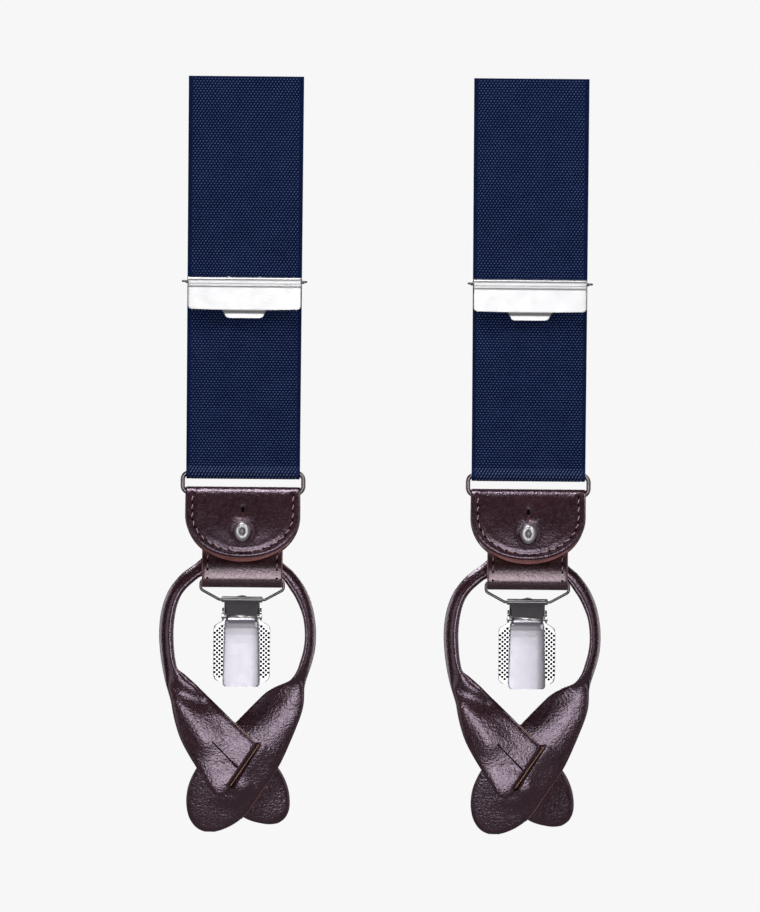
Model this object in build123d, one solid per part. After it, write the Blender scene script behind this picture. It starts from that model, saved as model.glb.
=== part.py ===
from build123d import *
import math
import os

# ---------------------------------------------------------------- dimensions (mm)
HALF_SPACING = 86.85          # distance between the two straps, centre to centre
WEB_TOP_W = 35.2              # webbing width at the cut top end
WEB_LOW_W = 34.8              # webbing width at the ring
WEB_T = 1.3                   # webbing thickness
RING_R = 0.7                  # strap ring wire radius
RING_HALF_W = 18.35           # strap ring centreline half width
RING_TOP_Z = -120.5           # upper bar of the ring
RING_LOW_Z = -126.9           # lower bar of the ring
RING_Y = WEB_T / 2 + 0.1 + RING_R
RETURN_Y = RING_Y + RING_R + 0.1 + WEB_T / 2
ADJ_Z = -62.5                 # adjuster hinge pin height
ADJ_Y = -2.3                  # adjuster hinge pin depth
ADJ_PIN_R = 0.7
REAR_BAR_Y = RETURN_Y + 1.35  # adjuster rear bar that the webbing end is sewn round
END_JOIN_Z = -86.0            # where the sewn end starts
FLAP_W = 35.0                 # leather tab width
FLAP_TOP_Z = -128.0           # crease of the front flap
FLAP_BOTTOM_Z = -148.0
LEATHER_T = 1.3
LINING_T = 0.8
FLAP_Y = -1.9                 # front flap centre depth over the stud
STUD_Z = -138.4
STUD_HEAD_Y = -5.2
TAB_Y = 1.4                   # clip tab centre depth
TAB_HALF_W = 12.1
TAB_TOP_Z = -136.4            # upper end of the clip tab, between the flaps
TAB_LEATHER = 1.2
WIRE_R = 0.45                 # clip wire radius
WIRE_TOP_Z = -153.2
WIRE_LOW_Z = -159.3
REAR_FLAP_Y = 6.6
CORD_Y = 5.6                  # loop plane
CORD_R_LEFT = 2.25
CORD_R_RIGHT = 1.75
LOOP_PIVOT_Z = -150.3
CLIP_PIN_Z = -164.5
CLIP_PIN_Y = -0.9
JAW_AXIS_Z = -166.2
JAW_AXIS_Y = 0.6

os.makedirs("parts", exist_ok=True)


# ---------------------------------------------------------------- helpers
def offset_band(points, t):
    """Closed outline of constant thickness t along an open line of points."""
    left, right = [], []
    n = len(points)
    for i, (a, b) in enumerate(points):
        if i == 0:
            dx, dy = points[1][0] - a, points[1][1] - b
            k = 1.0
        elif i == n - 1:
            dx, dy = a - points[i - 1][0], b - points[i - 1][1]
            k = 1.0
        else:
            d1 = (a - points[i - 1][0], b - points[i - 1][1])
            d2 = (points[i + 1][0] - a, points[i + 1][1] - b)
            l1, l2 = math.hypot(*d1), math.hypot(*d2)
            u1, u2 = (d1[0] / l1, d1[1] / l1), (d2[0] / l2, d2[1] / l2)
            dx, dy = u1[0] + u2[0], u1[1] + u2[1]
            c = (u1[0] * u2[0] + u1[1] * u2[1])
            k = 1.0 / max(0.5, math.sqrt((1 + c) / 2))
        l = math.hypot(dx, dy)
        nx, ny = -dy / l, dx / l
        left.append((a + nx * t / 2 * k, b + ny * t / 2 * k))
        right.append((a - nx * t / 2 * k, b - ny * t / 2 * k))
    return left + right[::-1]


def poly_yz(points, half_w, x=0.0):
    """Solid from a side view outline, symmetric about x."""
    face = Plane.YZ * Polygon(*points, align=None)
    return Pos(x, 0, 0) * extrude(face, amount=half_w, both=True)


def band_yz(points, t, half_w, x=0.0):
    return poly_yz(offset_band(points, t), half_w, x)


def plate_xz(points, y0, y1):
    """Flat plate from a front view outline between two depths."""
    face = Plane.XZ * Polygon(*points, align=None)
    return Pos(0, (y0 + y1) / 2, 0) * extrude(face, amount=abs(y1 - y0) / 2, both=True)


def smooth_xz(points, y0, y1):
    """Flat plate with a smooth closed outline."""
    face = Plane.XZ * make_face(Spline(*points, periodic=True))
    return Pos(0, (y0 + y1) / 2, 0) * extrude(face, amount=abs(y1 - y0) / 2, both=True)


def rod_x(y, z, r, x0, x1):
    """Round rod along X."""
    return Pos((x0 + x1) / 2, y, z) * Rot(0, 90, 0) * Cylinder(r, abs(x1 - x0))


def tube_x(y, z, ro, ri, x0, x1):
    return rod_x(y, z, ro, x0, x1) - rod_x(y, z, ri, x0 - 1, x1 + 1)


def rod(p0, p1, r):
    a, b = Vector(*p0), Vector(*p1)
    d = b - a
    return Plane(origin=(a + b) * 0.5, z_dir=d) * Cylinder(r, d.length)


def bent_rod(points, r, closed=False):
    """Wire of straight rods joined by balls of the same radius."""
    shape = None
    n = len(points)
    for i in range(n if closed else n - 1):
        seg = rod(points[i], points[(i + 1) % n], r)
        shape = seg if shape is None else shape + seg
    for i in (range(n) if closed else range(1, n - 1)):
        shape = shape + Pos(*points[i]) * Sphere(r)
    return shape


def solid_of(shape):
    s = shape.solids()
    return s[0] if len(s) == 1 else Compound(children=list(s))


def arc(cy, cz, r, a0, a1, n):
    """Points on an arc in the side view, angles in degrees (0 = rearwards, 90 = up)."""
    return [(cy + r * math.cos(math.radians(a0 + (a1 - a0) * i / n)),
             cz + r * math.sin(math.radians(a0 + (a1 - a0) * i / n))) for i in range(n + 1)]


def flap_outline(inset=0.0, top=FLAP_TOP_Z):
    """Front view outline of the D shaped flap, from the top left round the bottom to the top right."""
    w = FLAP_W / 2 - inset
    pts = [(-w, top), (-w, -133.5)]
    for i in range(1, 24):
        a = math.radians(180 + 180 * i / 24)
        pts.append((w * math.cos(a), -133.5 + (14.5 - inset) * math.sin(a)))
    pts += [(w, -133.5), (w, top)]
    return pts


def flap_depth(z):
    """Centre depth of the outer leather of the flap."""
    if z > -128.0:
        return 0.0
    if z > -137.0:
        s = (-128.0 - z) / 9.0
        return FLAP_Y * (3 * s * s - 2 * s ** 3)
    return FLAP_Y


def stitch_points():
    """Stitch positions and directions round the flap edge."""
    w, pts = FLAP_W / 2 - 2.1, []
    z = -130.2
    while z > -134.0:
        pts.append((-w, z, 90.0))
        z -= 2.7
    n = 15
    for i in range(n + 1):
        a = math.radians(184 + 172 * i / n)
        pts.append((w * math.cos(a), -133.9 + 12.4 * math.sin(a),
                    math.degrees(math.atan2(12.4 * math.cos(a), -w * math.sin(a)))))
    z = -130.2
    while z > -134.0:
        pts.append((w, z, 90.0))
        z -= 2.7
    return pts


# ---------------------------------------------------------------- one strap end
def build_half():
    nodes = {}

    # webbing: front layer, fold round the ring, rear layer back up to the adjuster
    nodes["webbing"] = plate_xz(
        [(-WEB_TOP_W / 2, 0), (WEB_TOP_W / 2, 0), (WEB_LOW_W / 2, RING_TOP_Z), (-WEB_LOW_W / 2, RING_TOP_Z)],
        -WEB_T / 2, WEB_T / 2)
    ro = RING_R + 0.1 + WEB_T
    fold = tube_x(RING_Y, RING_TOP_Z, ro, ro - WEB_T, -WEB_LOW_W / 2, WEB_LOW_W / 2)
    nodes["webbing_fold"] = fold & Pos(0, 0, RING_TOP_Z - 5) * Box(60, 20, 10)
    nodes["webbing_return"] = Pos(0, RETURN_Y, (RING_TOP_Z + END_JOIN_Z) / 2) * Box(
        WEB_LOW_W, WEB_T, abs(RING_TOP_Z - END_JOIN_Z))
    loop = ([(RETURN_Y, END_JOIN_Z), (RETURN_Y, ADJ_Z)]
            + arc(REAR_BAR_Y, ADJ_Z, 1.35, 180, 0, 12)[1:]
            + [(REAR_BAR_Y + 1.35, ADJ_Z - 5), (RETURN_Y + 2.0, ADJ_Z - 10),
               (RETURN_Y + 1.34, ADJ_Z - 13), (RETURN_Y + 1.34, END_JOIN_Z + 1)])
    nodes["webbing_end"] = band_yz(loop, WEB_T, WEB_LOW_W / 2)
    rows = []
    for row_z in (ADJ_Z - 15.0, ADJ_Z - 20.5):
        for i in range(12):
            x = -15.4 + 2.8 * i
            rows.append(rod((x - 0.95, RETURN_Y + 1.34 + WEB_T / 2 + 0.24, row_z),
                            (x + 0.95, RETURN_Y + 1.34 + WEB_T / 2 + 0.24, row_z), 0.22))
    nodes["webbing_stitching"] = Compound(children=[r.solids()[0] for r in rows])

    # adjuster: back frame with ears and rear bar, hinge pin, flip cover with finger tab
    frame = Pos(0, 1.15, (-60.9 - 71.3) / 2) * Box(33.6, 0.7, 10.4)
    frame = frame + Pos(0, 1.15, -62.6) * Box(36.9, 0.7, 3.4)
    frame = frame - Pos(0, 1.15, -67.2) * Box(24.0, 2.0, 3.0)
    for side in (-1, 1):
        ear = Plane.YZ * Polygon((-3.3, -61.4), (-3.3, -63.6), (0.8, -64.3), (5.0, -63.6), (5.2, -61.6),
                                 (0.8, -60.9), align=None)
        ear = Pos(side * 18.1, 0, 0) * extrude(ear, amount=0.35, both=True)
        frame = frame + ear
    frame = frame - rod_x(ADJ_Y, ADJ_Z, ADJ_PIN_R + 0.02, -30, 30)
    frame = frame + rod_x(REAR_BAR_Y, ADJ_Z, 0.6, -18.1, 18.1)
    nodes["adjuster_frame"] = frame
    nodes["adjuster_pin"] = rod_x(ADJ_Y, ADJ_Z, ADJ_PIN_R, -18.75, 18.75)
    roll = tube_x(ADJ_Y, ADJ_Z, 1.45, ADJ_PIN_R + 0.03, -17.2, 17.2)
    cover_profile = [(ADJ_Y - 1.1, ADJ_Z - 0.4), (ADJ_Y - 1.25, ADJ_Z - 2.2), (ADJ_Y - 1.0, ADJ_Z - 5.0),
                     (ADJ_Y - 0.55, ADJ_Z - 8.5), (ADJ_Y - 0.6, ADJ_Z - 9.8), (ADJ_Y - 1.1, ADJ_Z - 11.1)]
    sheet_all = band_yz(cover_profile, 0.7, 17.2)
    outline = plate_xz([(-17.2, -60), (17.2, -60), (17.2, -70.2), (16.4, -71.0), (6.75, -71.0), (5.6, -73.6),
                        (-5.6, -73.6), (-6.75, -71.0), (-16.4, -71.0), (-17.2, -70.2)], -12, 6)
    cover = roll + (sheet_all & outline)
    cover = cover - rod_x(ADJ_Y, ADJ_Z, ADJ_PIN_R + 0.03, -30, 30)
    for side in (-1, 1):
        cover = cover - Pos(side * 4.6, ADJ_Y, ADJ_Z + 1.2) * Box(1.8, 4.0, 0.9)
    nodes["adjuster_cover"] = cover
    teeth = []
    for i in range(12):
        x = -15.4 + 2.8 * i
        tooth = Plane.YZ * Polygon((-1.9, -64.6), (-1.9, -66.4), (-0.75, -65.5), align=None)
        teeth.append(extrude(Pos(x, 0, 0) * tooth, amount=0.6, both=True).solids()[0])
    rail = Pos(0, -2.32, -65.5) * Box(33.0, 0.84, 1.8)
    grip = rail
    for t in teeth:
        grip = grip + t
    nodes["adjuster_teeth"] = grip - (sheet_all + roll)

    # strap ring
    ring_pts = [(-RING_HALF_W, RING_Y, RING_TOP_Z), (RING_HALF_W, RING_Y, RING_TOP_Z),
                (RING_HALF_W, RING_Y, RING_LOW_Z), (-RING_HALF_W, RING_Y, RING_LOW_Z)]
    nodes["strap_ring"] = bent_rod(ring_pts, RING_R, closed=True)

    # leather tab: fold round the lower bar of the ring and rear flap
    r_fold = RING_R + 0.1 + LEATHER_T / 2
    back = ([(RING_Y - r_fold, -127.7)] + arc(RING_Y, RING_LOW_Z, r_fold, 180, 0, 12)
            + [(RING_Y + r_fold, -128.4), (RING_Y + r_fold + 0.9, -130.4), (REAR_FLAP_Y - 0.9, -132.6),
               (REAR_FLAP_Y, -134.6), (REAR_FLAP_Y, -148.0)])
    tab_back = band_yz(back, LEATHER_T, FLAP_W / 2)
    rear_cut = plate_xz(flap_outline(0.0, -120.0), -20, 20)
    tab_back = tab_back & rear_cut
    tab_back = tab_back - Pos(0, REAR_FLAP_Y, STUD_Z) * Rot(90, 0, 0) * Cylinder(1.3, 6)
    nodes["tab_back"] = tab_back

    # front flap: outer leather, lining, stitching
    zs = [-128.0, -129.2, -130.4, -131.6, -132.8, -134.0, -135.2, -136.4, -138.0, -148.2]
    outer_line = [(flap_depth(z), z) for z in zs]
    flap = band_yz(outer_line, LEATHER_T, FLAP_W / 2) & plate_xz(flap_outline(0.0, -128.0), -12, 12)
    hole = Pos(0, FLAP_Y, STUD_Z - 0.2) * Rot(90, 0, 0) * Cylinder(3.35, 9)
    slit = Pos(0, FLAP_Y, -133.2) * Box(0.5, 9, 4.4)
    nodes["tab_flap"] = flap - hole - slit
    lining_line = [(flap_depth(z) + (LEATHER_T + LINING_T) / 2, z) for z in zs if z < -129.5]
    lining = band_yz(lining_line, LINING_T - 0.02, FLAP_W / 2) & plate_xz(flap_outline(0.15, -130.0), -12, 12)
    nodes["flap_lining"] = lining - hole - slit - flap
    stitches = []
    for (x, z, ang) in stitch_points():
        a = math.radians(ang + 8)
        dx, dz = 0.85 * math.cos(a), 0.85 * math.sin(a)
        y0 = flap_depth(z + dz) - LEATHER_T / 2 - 0.30
        y1 = flap_depth(z - dz) - LEATHER_T / 2 - 0.30
        stitches.append(rod((x + dx, y0, z + dz), (x - dx, y1, z - dz), 0.2).solids()[0])
    nodes["flap_stitching"] = Compound(children=stitches)

    # ball stud and its screw base
    head = Pos(0, STUD_HEAD_Y, STUD_Z) * scale(Sphere(2.2), by=(1, 1, 1.22))
    stem = Pos(0, (STUD_HEAD_Y + 7.3) / 2, STUD_Z) * Rot(90, 0, 0) * Cylinder(1.1, 7.3 - STUD_HEAD_Y)
    nodes["stud"] = head + stem
    nodes["stud_base"] = (Pos(0, 7.75, STUD_Z) * Rot(90, 0, 0) * Cylinder(4.0, 0.9)
                          - Pos(0, 7.5, STUD_Z) * Rot(90, 0, 0) * Cylinder(1.12, 0.6))

    # clip tab: leather folded round the top bar of the clip wire
    r_in = WIRE_R + 0.1
    r_mid = r_in + TAB_LEATHER / 2
    tab_line = ([(TAB_Y - r_mid, TAB_TOP_Z), (TAB_Y - r_mid, WIRE_TOP_Z)]
                + arc(TAB_Y, WIRE_TOP_Z, r_mid, 180, 360, 12)[1:]
                + [(TAB_Y + r_mid, TAB_TOP_Z)])
    tab = band_yz(tab_line, TAB_LEATHER, TAB_HALF_W)
    tab = tab - Pos(0, TAB_Y, STUD_Z) * Rot(90, 0, 0) * Cylinder(1.3, 9)
    nodes["clip_tab"] = tab
    tstitch = []
    for side in (-1, 1):
        for z in (-149.4, -151.0):
            x = side * (TAB_HALF_W - 1.5)
            y = TAB_Y - r_mid - TAB_LEATHER / 2 - 0.22
            tstitch.append(rod((x, y, z + 0.6), (x, y, z - 0.6), 0.18).solids()[0])
    nodes["clip_tab_stitching"] = Compound(children=tstitch)

    # button loop: head between the flaps, rolled legs, two slit paddles
    head_strap = plate_xz([(-6.0, -135.2), (6.0, -135.2), (7.0, -142.0), (11.5, -145.0), (11.5, -147.8),
                           (-11.5, -147.8), (-11.5, -145.0), (-7.0, -142.0)],
                          TAB_Y + r_mid + TAB_LEATHER / 2 + 0.1, REAR_FLAP_Y - LEATHER_T / 2 - 0.1)
    nodes["loop_head"] = head_strap - Pos(0, 5, STUD_Z) * Rot(90, 0, 0) * Cylinder(1.3, 12)
    left_path = [(-12.8, -150.3), (-17.6, -153.9), (-20.9, -158.2), (-22.6, -164.0), (-23.1, -170.7),
                 (-22.8, -176.2), (-21.9, -181.4)]
    right_path = [(12.4, -150.3), (15.9, -154.5), (18.5, -158.9), (20.3, -164.3), (20.8, -170.2),
                  (19.7, -177.8), (18.0, -183.2)]
    legs = []
    for path, r in ((left_path, CORD_R_LEFT), (right_path, CORD_R_RIGHT)):
        line = Spline(*[(x, CORD_Y, z) for x, z in path])
        leg = sweep(Plane(origin=line @ 0, z_dir=line % 0) * Circle(r), path=line)
        leg = leg + Pos(path[0][0], CORD_Y, LOOP_PIVOT_Z) * Sphere(r)
        legs.append(leg)
    nodes["loop_cord"] = Compound(children=[l.solids()[0] for l in legs])
    # left paddle: front part, passes through the slit of the right paddle, ear at the rear
    front_l = [(-24.8, -180.0), (-24.1, -184.0), (-21.8, -189.6), (-21.5, -194.2), (-19.2, -201.8),
               (-14.3, -210.6), (-9.8, -217.5), (-7.4, -219.0), (-4.3, -217.9), (-4.0, -216.6),
               (4.3, -204.0), (-2.2, -196.9), (-10.6, -188.5), (-14.8, -184.4), (-20.0, -180.3)]
    left_front = plate_xz(front_l, 3.0, 5.0)
    own_slit = Pos(-5.2, 4.0, -207.1) * Rot(0, 45, 0) * Box(11.0, 3.0, 0.6)
    left_front = left_front - own_slit
    bridge_c = (0.15, -210.3)
    bridge = Pos(bridge_c[0], 6.4, bridge_c[1]) * Rot(0, -56.6, 0) * Box(13.6, 7.2, 1.6)
    ear_l = [(4.9, -205.5), (10.9, -210.8), (13.6, -215.8), (14.4, -221.7), (13.5, -225.8), (10.4, -228.2),
             (5.5, -227.9), (0.7, -226.3), (-3.9, -217.2)]
    left_rear = plate_xz(ear_l, 7.8, 9.8)
    right_front = [(17.0, -183.6), (11.9, -185.2), (7.2, -188.0), (2.6, -192.6), (-2.0, -197.2), (-12.0, -207.4),
                   (-14.2, -211.0), (-16.3, -214.9), (-17.3, -219.8), (-17.0, -224.7), (-14.9, -228.5),
                   (-12.0, -230.7), (-8.9, -230.7), (-4.4, -229.1), (-0.2, -226.5), (3.3, -221.6),
                   (6.8, -216.3), (10.8, -210.7), (14.5, -203.0), (17.7, -194.6), (18.7, -189.4),
                   (19.0, -185.5), (20.4, -182.0), (18.6, -182.0)]
    right_plate = plate_xz(right_front, 5.4, 7.4)
    r_slit = Pos(bridge_c[0], 6.4, bridge_c[1]) * Rot(0, -56.6, 0) * Box(15.0, 4.0, 2.0)
    right_plate = right_plate - r_slit - nodes["loop_cord"]
    left_plate = (left_front + bridge + left_rear) - nodes["loop_cord"]
    if len(left_plate.solids()) > 1:
        left_plate = max(left_plate.solids(), key=lambda s: s.volume)
    if len(right_plate.solids()) > 1:
        right_plate = max(right_plate.solids(), key=lambda s: s.volume)
    nodes["loop_left_paddle"] = left_plate
    nodes["loop_right_paddle"] = right_plate

    # clip wire
    nodes["clip_wire"] = bent_rod([(-12.6, TAB_Y, WIRE_TOP_Z), (12.6, TAB_Y, WIRE_TOP_Z),
                                   (12.6, TAB_Y, -156.2), (6.9, TAB_Y, WIRE_LOW_Z), (-6.9, TAB_Y, WIRE_LOW_Z),
                                   (-12.6, TAB_Y, -156.2)], WIRE_R, closed=True)

    # clip body: rolled top, sloping housing, ears for the pin, rear jaw
    roll_c = tube_x(TAB_Y, WIRE_LOW_Z, 1.05, WIRE_R + 0.05, -6.2, 6.2)
    front = band_yz([(TAB_Y - 0.8, WIRE_LOW_Z - 0.2), (0.0, -161.2), (-0.5, -163.2)], 0.5, 8)
    front = front & plate_xz([(-5.5, -159), (5.5, -159), (4.75, -163.6), (-4.75, -163.6)], -9, 9)
    rear = band_yz([(TAB_Y + 0.8, WIRE_LOW_Z - 0.2), (2.9, -161.2), (3.65, -163.8), (3.65, -184.4)], 0.6, 8.7)
    rear = rear & plate_xz([(-5.5, -159), (5.5, -159), (5.6, -164.5), (8.7, -167.0), (8.7, -182.6), (7.7, -184.0),
                            (-7.7, -184.0), (-8.7, -182.6), (-8.7, -167.0), (-5.6, -164.5)], -9, 9)
    body = roll_c + front + rear
    for side in (-1, 1):
        ear = Plane.YZ * Polygon((-1.9, -163.6), (-0.9, -162.4), (3.6, -162.2), (3.6, -165.6), (-1.6, -165.6),
                                 align=None)
        body = body + Pos(side * 5.75, 0, 0) * extrude(ear, amount=0.25, both=True)
    body = body + Pos(0, -0.35, -162.9) * Box(12.0, 0.5, 0.9)
    body = body - rod_x(TAB_Y, WIRE_LOW_Z, WIRE_R + 0.05, -30, 30)
    body = body - rod_x(CLIP_PIN_Y, CLIP_PIN_Z, 0.52, -30, 30)
    nodes["clip_body"] = body
    nodes["clip_pin"] = rod_x(CLIP_PIN_Y, CLIP_PIN_Z, 0.5, -6.2, 6.2)
    # rear pad
    nodes["clip_rear_pad"] = Pos(0, 2.95, -175.2) * Box(15.6, 0.78, 14.4)
    # front jaw plate: hinge tube, perforated face, rear pad
    jaw = Pos(0, 0.6, -175.2) * Box(17.2, 0.6, 15.7)
    jaw = jaw + rod_x(JAW_AXIS_Y, JAW_AXIS_Z, 0.55, -5.2, 5.2) + Pos(0, 0.6, -166.8) * Box(10.2, 0.6, 1.6)
    nodes["clip_jaw"] = jaw
    nodes["clip_front_pad"] = Pos(0, 1.3, -175.2) * Box(15.6, 0.78, 14.4)
    # jaw return spring: small wire arm
    nodes["clip_spring"] = bent_rod([(-1.3, 2.2, -164.9), (-1.3, 2.2, -160.9), (1.3, 2.2, -160.9), (1.3, 2.2, -164.9)],
                                    0.2)
    # lever
    lever_profile = [(-1.55, -164.7), (-2.2, -166.0), (-2.5, -170.0), (-2.5, -178.0), (-2.35, -184.0), (-2.75, -185.4)]
    lever = band_yz(lever_profile, 0.6, 6) & plate_xz(
        [(-4.3, -163.4), (4.3, -163.4), (5.2, -165.4), (5.25, -168.0), (5.65, -183.6), (5.65, -184.9), (4.9, -185.7),
         (-4.9, -185.7), (-5.65, -184.9), (-5.65, -183.6), (-5.25, -168.0), (-5.2, -165.4)], -9, 9)
    for side in (-1, 1):
        cam = Plane.YZ * Polygon((-1.8, -164.6), (-0.9, -163.7), (-0.05, -164.2), (-0.02, -165.0), (-0.6, -165.5),
                                 (-1.4, -168.0), (-2.4, -171.0), align=None)
        lever = lever + Pos(side * 4.4, 0, 0) * extrude(cam, amount=0.35, both=True)
    lever = lever + rod_x(CLIP_PIN_Y, CLIP_PIN_Z, 0.9, -4.75, 4.75)
    lever = lever - rod_x(CLIP_PIN_Y, CLIP_PIN_Z, 0.53, -30, 30)
    nodes["clip_lever"] = lever
    return nodes


half = build_half()
for side, sx in (("left", -1), ("right", 1)):
    for name, shape in half.items():
        placed = Pos(sx * HALF_SPACING / 2, 0, 0) * shape
        solids = placed.solids()
        out = solids[0] if len(solids) == 1 else Compound(children=list(solids))
        export_step(out, "parts/%s_%s.step" % (side, name))
        if side == "left":
            print(name, len(solids), round(sum(s.volume for s in solids), 2))
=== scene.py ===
import math
import bpy
import numpy as np
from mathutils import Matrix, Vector


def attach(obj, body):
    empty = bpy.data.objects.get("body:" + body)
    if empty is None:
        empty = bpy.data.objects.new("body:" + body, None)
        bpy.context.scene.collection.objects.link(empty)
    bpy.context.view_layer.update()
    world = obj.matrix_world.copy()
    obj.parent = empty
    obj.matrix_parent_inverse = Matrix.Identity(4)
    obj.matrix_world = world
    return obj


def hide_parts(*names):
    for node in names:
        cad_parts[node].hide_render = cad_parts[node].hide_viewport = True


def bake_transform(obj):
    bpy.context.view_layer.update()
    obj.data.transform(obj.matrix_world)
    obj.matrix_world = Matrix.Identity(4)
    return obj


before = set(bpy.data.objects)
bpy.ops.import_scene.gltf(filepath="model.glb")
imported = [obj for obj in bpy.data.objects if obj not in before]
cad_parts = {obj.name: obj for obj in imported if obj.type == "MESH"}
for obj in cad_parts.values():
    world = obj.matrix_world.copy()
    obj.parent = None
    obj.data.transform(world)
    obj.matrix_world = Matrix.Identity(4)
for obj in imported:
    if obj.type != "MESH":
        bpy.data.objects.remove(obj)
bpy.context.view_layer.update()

K = 0.3043                      # mm for one unit of the drawn front outlines
HALF = 43.425                   # half the distance between the straps, mm
STUD_X, STUD_Z = 0.0, -138.4    # the stud's axis in its own half, mm


def P(px, py):
    """Front view outline point to local mm (x, z)."""
    return ((px - (246.65 - 0.0088 * (py - 76.0))) * K, -(py - 76.0) * K)


# ------------------------------------------------------------------ materials
def new_mat(name):
    m = bpy.data.materials.new(name)
    m.use_nodes = True
    nt = m.node_tree
    bsdf = nt.nodes.get("Principled BSDF")
    return m, nt, bsdf


def simple(name, color, rough, metallic=0.0, spec=0.5, coat=0.0, coat_rough=0.1, sheen=0.0, sheen_rough=0.5):
    m, nt, b = new_mat(name)
    b.inputs["Base Color"].default_value = (*color, 1)
    b.inputs["Roughness"].default_value = rough
    b.inputs["Metallic"].default_value = metallic
    b.inputs["Specular IOR Level"].default_value = spec
    b.inputs["Coat Weight"].default_value = coat
    b.inputs["Coat Roughness"].default_value = coat_rough
    b.inputs["Sheen Weight"].default_value = sheen
    b.inputs["Sheen Roughness"].default_value = sheen_rough
    return m, nt, b


def math_node(nt, op, a, b=None, c=None):
    n = nt.nodes.new("ShaderNodeMath")
    n.operation = op
    for i, v in enumerate((a, b, c)):
        if v is None:
            continue
        if isinstance(v, (int, float)):
            n.inputs[i].default_value = v
        else:
            nt.links.new(v, n.inputs[i])
    return n.outputs[0]


def ramp(nt, fac, stops):
    n = nt.nodes.new("ShaderNodeValToRGB")
    el = n.color_ramp.elements
    while len(el) < len(stops):
        el.new(0.5)
    for e, (p, c) in zip(el, stops):
        e.position = p
        e.color = (*c, 1)
    nt.links.new(fac, n.inputs["Fac"])
    return n.outputs["Color"]


def noise_node(nt, vec, scale, detail=3.0, rough=0.5):
    n = nt.nodes.new("ShaderNodeTexNoise")
    n.inputs["Scale"].default_value = scale
    n.inputs["Detail"].default_value = detail
    n.inputs["Roughness"].default_value = rough
    nt.links.new(vec, n.inputs["Vector"])
    return n.outputs["Fac"]


def bump_into(nt, bsdf, height, strength, distance):
    n = nt.nodes.new("ShaderNodeBump")
    n.inputs["Strength"].default_value = strength
    n.inputs["Distance"].default_value = distance
    nt.links.new(height, n.inputs["Height"])
    nt.links.new(n.outputs["Normal"], bsdf.inputs["Normal"])


def obj_coord(nt):
    return nt.nodes.new("ShaderNodeTexCoord").outputs["Object"]


def make_webbing():
    m, nt, b = simple("navy_webbing", (0.012, 0.02, 0.06), 0.8, spec=0.03, sheen=0.04, sheen_rough=0.4)
    uv = nt.nodes.new("ShaderNodeUVMap")
    uv.uv_map = "weave"
    sep = nt.nodes.new("ShaderNodeSeparateXYZ")
    nt.links.new(uv.outputs[0], sep.inputs[0])
    u, v = sep.outputs[0], sep.outputs[1]
    wob = noise_node(nt, uv.outputs[0], 0.8, 2.0)
    wob = math_node(nt, "MULTIPLY", math_node(nt, "SUBTRACT", wob, 0.5), 0.30)
    vv = math_node(nt, "ADD", v, wob)
    tau = 2 * math.pi

    def wave(fu, fv):
        ph = math_node(nt, "ADD", math_node(nt, "MULTIPLY", u, tau * fu), math_node(nt, "MULTIPLY", vv, tau * fv))
        return math_node(nt, "COSINE", ph)
    w1, w2, w3 = wave(1.0076, 0.657), wave(0.0, 1.314), wave(1.0076, -0.657)
    # below the adjuster the rows lie flatter; just above the ring fold they open up, and that band is also painted
    # lighter as a painted highlight where the webbing bends into the fold
    low = math_node(nt, "GREATER_THAN", v, 66.0)
    end = math_node(nt, "MULTIPLY", math_node(nt, "GREATER_THAN", v, 118.6), math_node(nt, "LESS_THAN", v, 123.5))
    a1 = math_node(nt, "SUBTRACT", 0.46, math_node(nt, "MULTIPLY", low, 0.14))
    a1 = math_node(nt, "ADD", a1, math_node(nt, "MULTIPLY", end, 0.42))
    a2 = math_node(nt, "ADD", 0.36, math_node(nt, "MULTIPLY", low, 0.12))
    a2 = math_node(nt, "SUBTRACT", a2, math_node(nt, "MULTIPLY", end, 0.20))
    lat = math_node(nt, "ADD", math_node(nt, "MULTIPLY", w1, a1), math_node(nt, "MULTIPLY", w2, a2))
    lat = math_node(nt, "ADD", lat, math_node(nt, "MULTIPLY", w3, 0.22))
    sel = math_node(nt, "LESS_THAN", math_node(nt, "ABSOLUTE", u), 16.3)
    lat = math_node(nt, "MULTIPLY", lat, sel)
    fine = noise_node(nt, uv.outputs[0], 3.1, 2.0)
    cloud = noise_node(nt, uv.outputs[0], 0.12, 2.0)
    # the lattice lightens the base colour on the crests of the woven relief (the same waves drive the bump below):
    # partly the yarn's own light-and-dark pattern, partly painted sheen on the crests
    level = math_node(nt, "ADD", math_node(nt, "MULTIPLY", lat, 0.54), 0.44)
    level = math_node(nt, "ADD", level, math_node(nt, "MULTIPLY", math_node(nt, "SUBTRACT", fine, 0.5), 0.30))
    level = math_node(nt, "ADD", level, math_node(nt, "MULTIPLY", math_node(nt, "SUBTRACT", cloud, 0.5), 0.18))
    # painted highlight: the band just above the ring fold is lifted lighter
    level = math_node(nt, "ADD", level, math_node(nt, "MULTIPLY", end, 0.13))
    col = ramp(nt, level, [(0.0, (0.0012, 0.0052, 0.0250)), (0.45, (0.0055, 0.0160, 0.0720)),
                           (0.72, (0.0320, 0.0540, 0.1560)), (1.0, (0.150, 0.200, 0.37))])
    nt.links.new(col, b.inputs["Base Color"])
    bump_into(nt, b, math_node(nt, "ADD", lat, math_node(nt, "MULTIPLY", fine, 0.6)), 0.5, 0.00010)
    return m


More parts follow.
